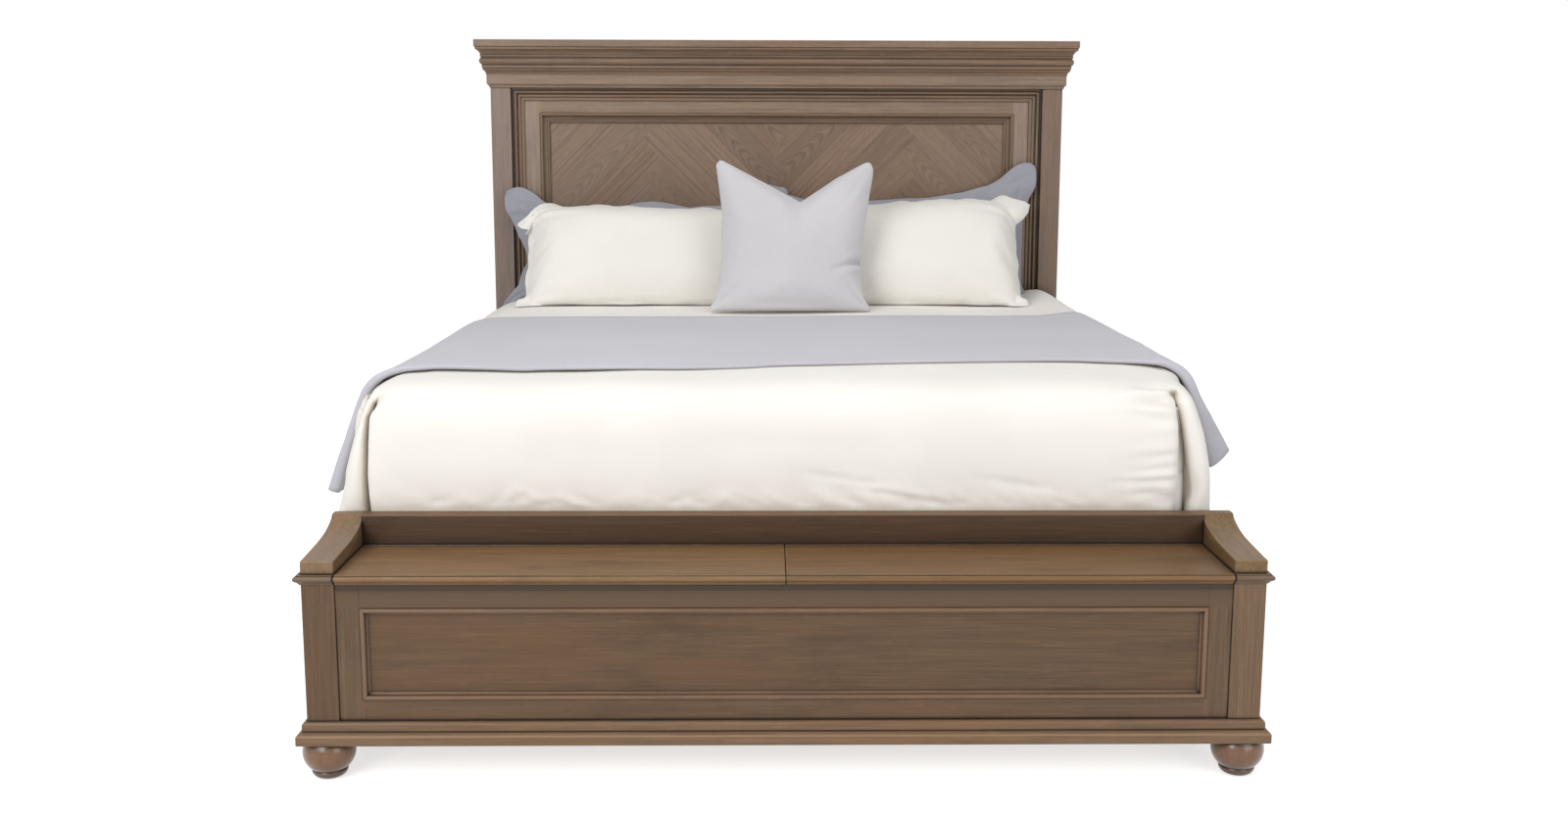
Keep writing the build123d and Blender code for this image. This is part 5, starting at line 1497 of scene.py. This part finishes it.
OUTLINES = {
    "sham_left": Outline(
        ((-0.96, 1.182), (-0.93, 1.19), (-0.88, 1.17), (-0.842, 1.15), (-0.76, 1.132), (-0.58, 1.138),
         (-0.5, 1.158), (-0.46, 1.163), (-0.4, 1.155), (-0.32, 1.138), (-0.15, 1.15), (-0.09, 1.188),
         (-0.03, 1.218), (0.0, 1.205)),
        ((0.846, -0.985), (0.86, -0.975), (0.876, -0.925), (0.897, -0.897), (0.94, -0.885),
         (0.985, -0.862), (1.02, -0.874), (1.071, -0.9), (1.14, -0.922), (1.19, -0.927)),
        ((0.85, -0.013), (1.1, -0.013), (1.2, 0.0)),
    ),
    "sham_right": Outline(
        ((0.0, 1.19), (0.06, 1.176), (0.12, 1.16), (0.334, 1.163), (0.558, 1.178), (0.682, 1.196),
         (0.771, 1.219), (0.841, 1.256), (0.876, 1.274), (0.9, 1.28)),
        ((0.85, 0.013), (1.2, 0.013)),
        ((0.85, 0.866), (0.896, 0.85), (0.933, 0.852), (1.004, 0.853), (1.127, 0.858), (1.197, 0.876),
         (1.25, 0.886), (1.28, 0.888)),
    ),
    "pillow_left": Outline(
        ((-0.89, 1.135), (-0.862, 1.156), (-0.84, 1.17), (-0.8, 1.18), (-0.737, 1.184), (-0.651, 1.194),
         (-0.531, 1.189), (-0.209, 1.18), (0.0, 1.176)),
        ((0.86, -0.852), (0.889, -0.851), (0.937, -0.861), (1.017, -0.864), (1.08, -0.863), (1.12, -0.858),
         (1.16, -0.848)),
        ((0.85, -0.03), (1.2, -0.03)),
    ),
    "pillow_right": Outline(
        ((0.0, 1.19), (0.325, 1.2), (0.439, 1.209), (0.543, 1.218), (0.665, 1.219), (0.751, 1.207),
         (0.8, 1.188), (0.845, 1.162)),
        ((0.85, 0.03), (1.2, 0.03)),
        ((0.86, 0.818), (0.889, 0.822), (0.923, 0.831), (1.019, 0.834), (1.111, 0.832), (1.15, 0.824),
         (1.2, 0.822)),
    ),
    "accent_cushion": Outline(
        ((-0.215, 1.315), (-0.208, 1.334), (-0.196, 1.347), (-0.184, 1.345), (-0.06, 1.283),
         (0.073, 1.212), (0.19, 1.288), (0.285, 1.335), (0.303, 1.341), (0.314, 1.333), (0.322, 1.312)),
        ((0.846, -0.222), (0.86, -0.23), (0.874, -0.226), (0.892, -0.21), (0.93, -0.203), (1.034, -0.193),
         (1.177, -0.194), (1.3, -0.206), (1.34, -0.21)),
        ((0.846, 0.296), (0.86, 0.304), (0.874, 0.299), (0.895, 0.284), (0.93, 0.277), (1.002, 0.273),
         (1.098, 0.288), (1.227, 0.308), (1.3, 0.317), (1.34, 0.319)),
    ),
}


@dataclass
class Bedding:
    """Everything soft on the bed.

    Attributes:
        cream: the cotton of the duvet.
        case: the cotton of the pillows.
        grey: the ribbed cloth of the throw.
        slate: the weave of the shams.
        silver: the pile of the square cushion.
    """

    # The cream's warm brown hollow tint colours its painted shade inside the corner pleats and folds.
    cream: Cloth = Cloth(
        "cream_cotton", rgb(0.855, 0.827, 0.780), Weave.PLAIN, 0.0016, 0.00012, 0.25, (0.60, 0.51, 0.40), 0.52
    )
    case: Cloth = Cloth("pillow_cotton", rgb(0.825, 0.800, 0.748), Weave.PLAIN, 0.0014, 0.0001)
    grey: Cloth = Cloth("ribbed_throw", rgb(0.532, 0.524, 0.574), Weave.RIBBED, 0.0042, 0.00034, 0.3)
    slate: Cloth = Cloth("sham_weave", rgb(0.318, 0.318, 0.358), Weave.SLUB, 0.0022, 0.0002, 0.3)
    silver: Cloth = Cloth("cushion_velvet", rgb(0.590, 0.578, 0.595), Weave.PILE, 0.0016, 0.0003, 0.5)

    def folds(self, side: int, *lines: tuple[float, ...]) -> tuple[Crease, ...]:
        """Return creases in a pillow's own plane.

        Args:
            side: -1 to mirror them, or 1.
            lines: x and y of the start and of the end, the height and the width of each.

        Returns:
            One crease to a line.
        """
        return tuple(
            Crease((side * x, y, 0), (side * to_x, to_y, 0), height, width)
            for x, y, to_x, to_y, height, width in lines
        )

    def sham(self, side: int, word: str) -> Pillow:
        """Return the left (-1) or right (1) sham."""
        folds = self.folds(
            side,
            (0.480, 0.150, 0.370, 0.178, -0.0080, 0.011),
            (0.480, 0.120, 0.360, 0.135, -0.0085, 0.012),
            (0.475, 0.085, 0.385, 0.100, -0.0065, 0.011),
            (0.470, 0.165, 0.420, 0.060, 0.0040, 0.012),
            (0.470, -0.020, 0.380, -0.010, -0.0050, 0.009),
            (0.480, -0.150, 0.330, -0.120, -0.0085, 0.012),
            (0.480, -0.180, 0.330, -0.160, 0.0070, 0.012),
            (0.480, -0.195, 0.340, -0.185, -0.0070, 0.010),
        )
        return Pillow(
            f"sham_{word}_cover", f"sham_{word}", "sham_weave", 0.88, 0.33, 0.11, side * 0.455, 1.040, 80,
            flange=0.045, fill=0.5, outline=OUTLINES[f"sham_{word}"], bend=22.0, seed=5.0 + side, folds=folds,
        )

    def pillow(self, side: int, word: str) -> Pillow:
        """Return the left (-1) or right (1) pillow."""
        folds = self.folds(
            side,
            (0.425, 0.180, 0.100, 0.172, -0.0050, 0.010),
            (0.420, 0.140, 0.240, 0.125, -0.0034, 0.014),
            (0.420, 0.165, 0.300, 0.150, 0.0040, 0.010),
            (0.430, -0.190, 0.290, -0.165, -0.0050, 0.009),
            (0.430, -0.165, 0.330, -0.135, 0.0034, 0.010),
            (-0.100, -0.185, 0.330, -0.192, -0.0040, 0.008),
            (-0.350, 0.182, 0.050, 0.176, -0.0036, 0.009),
        )
        ears, spread, start = ((78.0, 10.0), 0.3, 0.66) if side < 0 else ((22.0, 10.0), 1.25, 0.83)
        return Pillow(
            f"pillow_{word}_cover", f"pillow_{word}", "cream_cotton", 0.82, 0.41, 0.195, side * 0.430, 0.735,
            54, flange=0.042, fill=0.75, outline=OUTLINES[f"pillow_{word}"], bend=58.0, seed=2.0 + side,
            ears=ears, spread=spread, ear_start=start, folds=folds,
        )

    def cushion(self) -> Pillow:
        """Return the square cushion."""
        folds = self.folds(
            1,
            (0.262, -0.088, 0.130, -0.122, -0.0140, 0.0095),
            (0.262, -0.112, 0.150, -0.142, 0.0070, 0.0140),
            (0.262, -0.060, 0.170, -0.086, 0.0040, 0.0160),
            (0.250, -0.250, 0.190, -0.170, -0.0070, 0.0080),
            (0.262, -0.225, 0.200, -0.150, 0.0060, 0.0090),
            (-0.250, -0.250, -0.180, -0.180, -0.0070, 0.0080),
            (-0.262, -0.225, -0.190, -0.160, 0.0060, 0.0090),
            (-0.235, 0.245, -0.150, 0.150, -0.0030, 0.0140),
            (0.235, 0.245, 0.175, 0.130, -0.0040, 0.0140),
            (-0.150, -0.235, 0.150, -0.240, -0.0030, 0.0100),
        )
        return Pillow(
            "accent_cushion_cover", "accent_cushion", "cushion_velvet", 0.50, 0.53, 0.145, 0.053, 0.530, 69,
            cell=0.0125, fill=0.6, outline=OUTLINES["accent_cushion"], notch=0.5, draw=0.2, seed=11.0,
            folds=folds,
        )

    def build(self) -> None:
        """Build the bedding, from the duvet up."""
        cream, case, slate = self.cream.material(), self.case.material(), self.slate.material()
        Duvet().build(cream)
        Throw().build(self.grey.material())
        for side, word in ((-1, "left"), (1, "right")):
            self.sham(side, word).build(slate)
            self.pillow(side, word).build(case)
        self.cushion().build(self.silver.material())


@dataclass
class Upholstery:
    """Mattress and foundation: stitched borders between piped edges.

    Attributes:
        width: the width of both.
        foot: the y of their foot end.
        length: their length.
        corner: the radius of their upright corners.
        inset: how far the blocks stay inside their piping.
        piping_radius: the piping's radius.
        ticking: their cover.
    """

    width: float = 1.930
    foot: float = -0.89225
    length: float = 2.032
    corner: float = 0.060
    inset: float = 0.004
    piping_radius: float = 0.0045
    ticking: Cloth = Cloth("mattress_ticking", rgb(0.78, 0.765, 0.73), Weave.TICKING, 0.004, 0.0012)

    def block(self, name: str, low: float, high: float, bands: Sequence[float]) -> bpy.types.Object:
        """Build a block with piped edges and stitched lines round it.

        Args:
            name: the piece's name.
            low: its lowest z.
            high: its highest z.
            bands: the z of each line of stitching.

        Returns:
            The piece, not yet dressed.
        """
        bm = bmesh.new()
        flat = bm.verts.layers.float_vector.new("flat")
        bmesh.ops.create_cube(bm, size=1)
        inset = self.inset
        middle = Vector((0, self.foot + self.length / 2, (low + high) / 2))
        size = (self.width - 2 * inset, self.length - 2 * inset, high - low - 2 * inset)
        bmesh.ops.scale(bm, vec=size, verts=bm.verts)
        rounded = {"profile": 0.5, "affect": "EDGES", "material": -1}
        upright = [e for e in bm.edges if abs((e.verts[0].co - e.verts[1].co).z) > 0.01]
        bmesh.ops.bevel(bm, geom=upright, offset=self.corner, segments=10, **rounded)
        bmesh.ops.translate(bm, vec=middle, verts=bm.verts)
        for line in bands:
            for lift in (-0.006, 0.0, 0.006):
                everything = [*bm.verts, *bm.edges, *bm.faces]
                bmesh.ops.bisect_plane(bm, geom=everything, plane_co=(0, 0, line + lift), plane_no=(0, 0, 1))
            sunk = [v for v in bm.verts if abs(v.co.z - line) < 1e-4]
            for vert in sunk:
                vert.co += (Vector((middle.x, middle.y, vert.co.z)) - vert.co).normalized() * 0.003
        for end in (low, high):
            level = [e for e in bm.edges if all(abs(v.co.z - end) < inset + 1e-4 for v in e.verts)]
            inner = [e for e in level if len(e.link_faces) == 2]
            rim = [e for e in inner if any(abs(f.normal.z) < 0.5 for f in e.link_faces)]
            bmesh.ops.bevel(bm, geom=rim, offset=0.009, segments=4, **rounded)
        for vert in bm.verts:
            vert[flat] = (vert.co.x + vert.co.y, vert.co.z + vert.co.y, 0)
        bmesh.ops.recalc_face_normals(bm, faces=bm.faces)
        return new_mesh(bm, name)

    def piping(self, name: str, level: float) -> bpy.types.Object:
        """Build the piping round one edge.

        Args:
            name: the piece's name.
            level: the z of its middle.

        Returns:
            The piece, not yet dressed.
        """
        bm = bmesh.new()
        flat = bm.verts.layers.float_vector.new("flat")
        radius, turn = self.piping_radius, self.corner
        x_half, y_low = self.width / 2 - radius - 0.001, self.foot + radius + 0.001
        y_high = self.foot + self.length - radius - 0.001
        centres = (
            (x_half - turn, y_high - turn, 0), (-x_half + turn, y_high - turn, 90),
            (-x_half + turn, y_low + turn, 180), (x_half - turn, y_low + turn, 270),
        )
        stations = []
        for x, y, start in centres:
            for step in range(9):
                angle = math.radians(start + 11.25 * step)
                out = Vector((turn * math.cos(angle), turn * math.sin(angle), level))
                stations.append((Vector((x, y, 0)) + out, angle))
        rings = []
        for place, angle in stations:
            ring = bmesh.ops.create_circle(bm, segments=10, radius=radius)["verts"]
            turned = Matrix.Rotation(angle, 4, "Z") @ Matrix.Rotation(math.radians(90), 4, "X")
            bmesh.ops.transform(bm, matrix=Matrix.Translation(place) @ turned, verts=ring)
            rings.append(list({edge for v in ring for edge in v.link_edges}))
        for first, second in zip(rings, rings[1:] + rings[:1]):
            bmesh.ops.bridge_loops(bm, edges=first + second)
        for vert in bm.verts:
            vert[flat] = (vert.co.x + vert.co.y, vert.co.z, 0)
        bmesh.ops.recalc_face_normals(bm, faces=bm.faces)
        return new_mesh(bm, name)

    def build(self) -> None:
        """Build the foundation and the mattress."""
        cover = self.ticking.material()
        for node, low, high, lines in (
            ("foundation", 0.250, 0.465, (0.30, 0.42)), ("mattress", 0.465, 0.795, (0.53, 0.63, 0.73)),
        ):
            fitted(self.block(f"{node}_cover", low, high, lines), cover, "mattress_ticking", node)
        for name, level in (
            ("foundation_piping_low", 0.258), ("foundation_piping_high", 0.457),
            ("mattress_piping_low", 0.474), ("mattress_piping_high", 0.786),
        ):
            fitted(self.piping(name, level), cover, "mattress_ticking")


# ---------------------------------------------------------------- the wooden bed


def dress(node: bpy.types.Object, material: bpy.types.Material) -> None:
    """Give a CAD piece its finish."""
    node.data.materials.clear()
    node.data.materials.append(material)
    LOG.info("%s: %s", node.name, material.name)


@dataclass
class Joinery:
    """A group of wooden CAD pieces.

    Attributes:
        nodes: the CAD pieces by name.
    """

    nodes: dict[str, bpy.types.Object]

    def stain(
        self, rows: Sequence[Sequence[Any]], start: float, step: float, factor: float, **looks: Any
    ) -> None:
        """Dress pieces in stained wood, each cut from further along the plank.

        Args:
            rows: each piece's name, tone and run, and the looks that are its own.
            start: where along the plank the first piece is cut.
            step: how much further on each next piece is cut.
            factor: how much lighter all their tones are.
            looks: the looks that they share.
        """
        for number, (name, tone, run, *own) in enumerate(rows):
            mine = {"shift": step * number + start, **looks, **(own[0] if own else {})}
            wood = StainedWood(f"stain_{name}", tinted(rgb(*tone), factor), run, **mine)
            dress(self.nodes[name], wood.material())

    def plain(self, runs: dict[str, Run], **looks: Any) -> None:
        """Dress pieces in plain wood."""
        for name, run in runs.items():
            dress(self.nodes[name], PlainWood(f"plain_{name}", run, **looks).material())


@dataclass
class Headboard(Joinery):
    """Panelled headboard under a stepped crown."""

    def build(self) -> None:
        """Dress the headboard."""
        wrap = {"mitre": Mitre(1.034, 1.14375)}
        outer = {"mitre": Mitre(0.962, 1.597)}
        inner = {"mitre": Mitre(0.862, 1.508, 0.720)}
        finishes = (
            # The left post's lighter, greyer tone is partly a painted sheen from the light on the left.
            ("headboard_post_left", (0.206, 0.153, 0.128), Run.UPRIGHT),
            ("headboard_post_right", (0.173, 0.120, 0.087), Run.UPRIGHT),
            ("headboard_stiles", (0.259, 0.190, 0.149), Run.UPRIGHT),
            ("headboard_rails", (0.226, 0.155, 0.106), Run.ACROSS),
            ("frieze_board", (0.232, 0.162, 0.114), Run.ACROSS),
            ("crown_moulding", (0.185, 0.120, 0.078), Run.WRAP, wrap),
            ("crown_board", (0.196, 0.130, 0.087), Run.WRAP, wrap),
            ("headboard_frame_moulding", (0.190, 0.124, 0.080), Run.FRAME, outer),
            ("headboard_panel_moulding", (0.180, 0.118, 0.076), Run.FRAME, inner),
            ("headboard_back_panel", (0.150, 0.102, 0.075), Run.ACROSS),
        )
        self.stain(finishes, 0.3, 1.7, 1.0, mottle=0.16)
        dress(self.nodes["headboard_veneer_panel"], HerringboneVeneer(rgb(0.198, 0.134, 0.095)).material())


@dataclass
class BlanketChest(Joinery):
    """The lidded chest at the foot, with its arms, its bun feet and the side rails."""

    def build(self) -> None:
        """Dress the chest."""
        wrap = Mitre(1.055, -1.18525)
        # Painted shadow: dark bands on the rails and stiles just below the lids' nosing.
        painted_nosing_shadow = {"bands": tuple(
            (2, low, 0.46, share) for low, share in ((0.397, 0.9), (0.42, 0.82), (0.429, 0.7), (0.436, 0.36))
        )}
        bead = {"mitre": Mitre(0.931, 0.3974, 0.187)}
        # The light band at z 0.1105 to 0.1135 on the base moulding is a painted highlight along its lower
        # step.
        base = {"mitre": wrap, "bands": ((2, 0.1105, 0.1135, 1.6),)}
        # The dark bands at the ends of the arm nosing and the lids are painted shade in the gap between each
        # lid and its arm.
        arm_nosing = {"mitre": wrap, "bands": ((0, 0.975, 0.985, 0.12),)}
        lid = {"wear_and_highlight": 0.3, "bands": ((0, 0.9795, 0.99, 0.12),)}
        # A painted highlight along the backboard's top edge.
        painted_backboard_highlight = {"bands": ((2, 0.5435, 0.55, 2.1),)}
        finishes = (
            ("chest_post_left", (0.098, 0.054, 0.027), Run.UPRIGHT),
            ("chest_post_right", (0.148, 0.091, 0.050), Run.UPRIGHT),
            ("chest_front_stiles", (0.111, 0.066, 0.035), Run.UPRIGHT, painted_nosing_shadow),
            ("chest_front_rails", (0.109, 0.065, 0.035), Run.ACROSS, painted_nosing_shadow),
            ("chest_front_panel", (0.103, 0.059, 0.029), Run.ACROSS),
            # The bead's lighter tone than the panel's is partly a painted highlight along its rounded top.
            ("chest_panel_bead", (0.166, 0.100, 0.060), Run.FRAME, bead),
            ("base_moulding", (0.169, 0.103, 0.057), Run.WRAP, base),
            ("arm_mouldings", (0.138, 0.089, 0.053), Run.WRAP, arm_nosing),
            ("arm_left", (0.188, 0.119, 0.065), Run.DEEP),
            ("arm_right", (0.172, 0.103, 0.045), Run.DEEP),
            ("lid_left", (0.184, 0.108, 0.049), Run.ACROSS, lid),
            ("lid_right", (0.163, 0.092, 0.040), Run.ACROSS, lid),
            # The backboard's dark tone is partly painted shade from the lids and duvet around it.
            ("backboard", (0.068, 0.036, 0.019), Run.ACROSS, painted_backboard_highlight),
            ("chest_rear_posts", (0.105, 0.069, 0.045), Run.UPRIGHT),
            ("chest_end_panels", (0.112, 0.074, 0.048), Run.DEEP),
            ("side_rail_left", (0.112, 0.074, 0.048), Run.DEEP),
            ("side_rail_right", (0.112, 0.074, 0.048), Run.DEEP),
        )
        self.stain(finishes, 0.9, 2.3, 1.03)
        # Both dark bands on the bun feet are painted shade: under the base moulding at the top, and in the
        # groove at the neck.
        rings = ((2, 0.0815, 0.092, 0.3), (2, 0.0195, 0.0235, 0.25))
        feet = [("bun_feet", (0.168, 0.085, 0.042), Run.UPRIGHT)]
        self.stain(feet, 5.0, 0.0, 1.0, figure=0.8, rough=0.22, coat=0.5, bands=rings)
        hidden = {"chest_back": Run.ACROSS, "chest_floor": Run.ACROSS, "chest_divider": Run.UPRIGHT}
        self.plain(hidden, tone=rgb(0.36, 0.235, 0.13))


@dataclass
class SlatBase(Joinery):
    """Slats, beam, cleats and legs under the foundation."""

    def build(self) -> None:
        """Dress the base."""
        self.plain({
            "bed_slats": Run.ACROSS, "centre_beam": Run.DEEP,
            "slat_cleats": Run.DEEP, "support_legs": Run.UPRIGHT,
        })


@dataclass
class Fittings:
    """Hinges, stays, rail plates and glides.

    Attributes:
        nodes: the CAD pieces by name.
    """

    nodes: dict[str, bpy.types.Object]

    def build(self) -> None:
        """Dress the fittings."""
        bronze = PlatedSteel("bronzed_steel", rgb(0.075, 0.055, 0.045), 0.42).material()
        zinc = PlatedSteel("zinc_steel", rgb(0.50, 0.49, 0.47), 0.32).material()
        for name, node in self.nodes.items():
            if name.startswith("hinge_"):
                dress(node, bronze)
            elif name.startswith(("stay_", "rail_")):
                dress(node, zinc)
        dress(self.nodes["floor_glides"], Nylon().material())


# ---------------------------------------------------------------- studio


@dataclass(frozen=True)
class Lamp:
    """A soft, square area light.

    Attributes:
        name: its name.
        place: where it is.
        aim: what it faces.
        size: its side.
        power: its power in watts.
    """

    name: str
    place: Point
    aim: Point
    size: float
    power: float

    def build(self) -> None:
        """Build the lamp."""
        data = bpy.data.lights.new(self.name, "AREA")
        data.shape = "SQUARE"
        data.size = self.size
        data.energy = self.power
        lamp = bpy.data.objects.new(self.name, data)
        bpy.context.scene.collection.objects.link(lamp)
        lamp.location = self.place
        lamp.rotation_euler = (Vector(self.aim) - Vector(self.place)).to_track_quat("-Z", "Y").to_euler()


@dataclass
class Studio:
    """A pale floor, soft lamps and the camera.

    Attributes:
        place: the camera's place.
        turn: its turn, in degrees about X, Y and Z.
        lens: its focal length for a 36 mm sensor.
        shift: the vertical shift of its frame.
        lamps: the lamps.
        sky: the strength of the even light all round.
        glow: the strength of the floor's own light where the camera sees it.
    """

    place: Point = (-0.04848, -4.32389, 1.40757)
    turn: Point = (81.31738, -0.13737, -0.76902)
    lens: float = 34.165
    shift: float = -0.0265
    lamps: tuple[Lamp, ...] = (
        Lamp("key", (-3.0, -4.8, 3.3), (0.0, 0.2, 0.6), 2.6, 124.0),
        Lamp("softbox", (-2.1, -5.0, 2.0), (-0.7, 1.0, 1.2), 1.4, 36.0),
        Lamp("fill", (3.2, -4.6, 1.8), (0.0, -0.2, 0.6), 2.6, 68.0),
        Lamp("top", (0.0, -0.8, 4.2), (0.0, -0.3, 0.4), 3.0, 40.0),
        Lamp("back", (0.0, 4.6, 3.2), (0.0, 0.8, 0.8), 2.8, 60.0),
    )
    sky: float = 0.42
    glow: float = 0.64

    def camera(self) -> None:
        """Set up the camera."""
        data = bpy.data.cameras.new("camera")
        data.sensor_width = 36
        data.lens = self.lens
        data.shift_y = self.shift
        camera = bpy.data.objects.new("camera", data)
        bpy.context.scene.collection.objects.link(camera)
        camera.location = self.place
        camera.rotation_euler = [math.radians(angle) for angle in self.turn]
        bpy.context.scene.camera = camera

    def seen(self, graph: Graph) -> Signal:
        """Return 1 for rays that show the background: from the camera, in gloss or through glass."""
        node = graph.add("ShaderNodeLightPath").socket.node
        names = ("Is Camera Ray", "Is Glossy Ray", "Is Transmission Ray")
        camera, glossy, through = (Signal(graph, node.outputs[name]) for name in names)
        return camera.most(glossy).most(through)

    def floor(self) -> None:
        """Lay the pale floor."""
        bm = bmesh.new()
        bmesh.ops.create_circle(bm, cap_ends=True, segments=64, radius=5.6)
        floor = new_mesh(bm, "studio_floor")
        graph = Graph("studio_floor")
        paint = graph.noise(graph.place(), 0.6, 2.0, 0.5)
        colour = graph.blend(paint, rgb(0.80, 0.80, 0.80), rgb(0.82, 0.82, 0.82))
        matt = graph.add("ShaderNodeBsdfDiffuse", None, {"Color": colour})
        glow = graph.add("ShaderNodeEmission", None, {"Color": rgb(1, 1, 1), "Strength": self.glow})
        both = graph.add("ShaderNodeAddShader", None, {0: matt, 1: glow})
        mixed = graph.add("ShaderNodeMixShader", None, {0: self.seen(graph), 1: matt, 2: both})
        graph.add("ShaderNodeOutputMaterial", None, {"Surface": mixed})
        floor.data.materials.append(graph.holder)

    def world(self) -> None:
        """Light the room evenly, with a white backdrop."""
        graph = Graph("studio", world=True)
        bpy.context.scene.world = graph.holder
        strength = self.seen(graph).pick(self.sky, 1.0)
        light = graph.add("ShaderNodeBackground", None, {"Color": rgb(1, 1, 1), "Strength": strength})
        graph.add("ShaderNodeOutputWorld", None, {"Surface": light})

    def build(self) -> None:
        """Build the studio."""
        self.camera()
        self.floor()
        self.world()
        for lamp in self.lamps:
            lamp.build()
        bpy.context.scene.view_settings.view_transform = "Standard"


def main() -> None:
    """Build the bed's looks around its frame, in order."""
    logging.basicConfig(level=logging.INFO, format="%(message)s")
    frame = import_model()
    nodes = frame["nodes"]
    Studio().build()
    Headboard(nodes).build()
    BlanketChest(nodes).build()
    SlatBase(nodes).build()
    Fittings(nodes).build()
    Upholstery().build()
    Bedding().build()


if __name__ == "__main__":
    main()
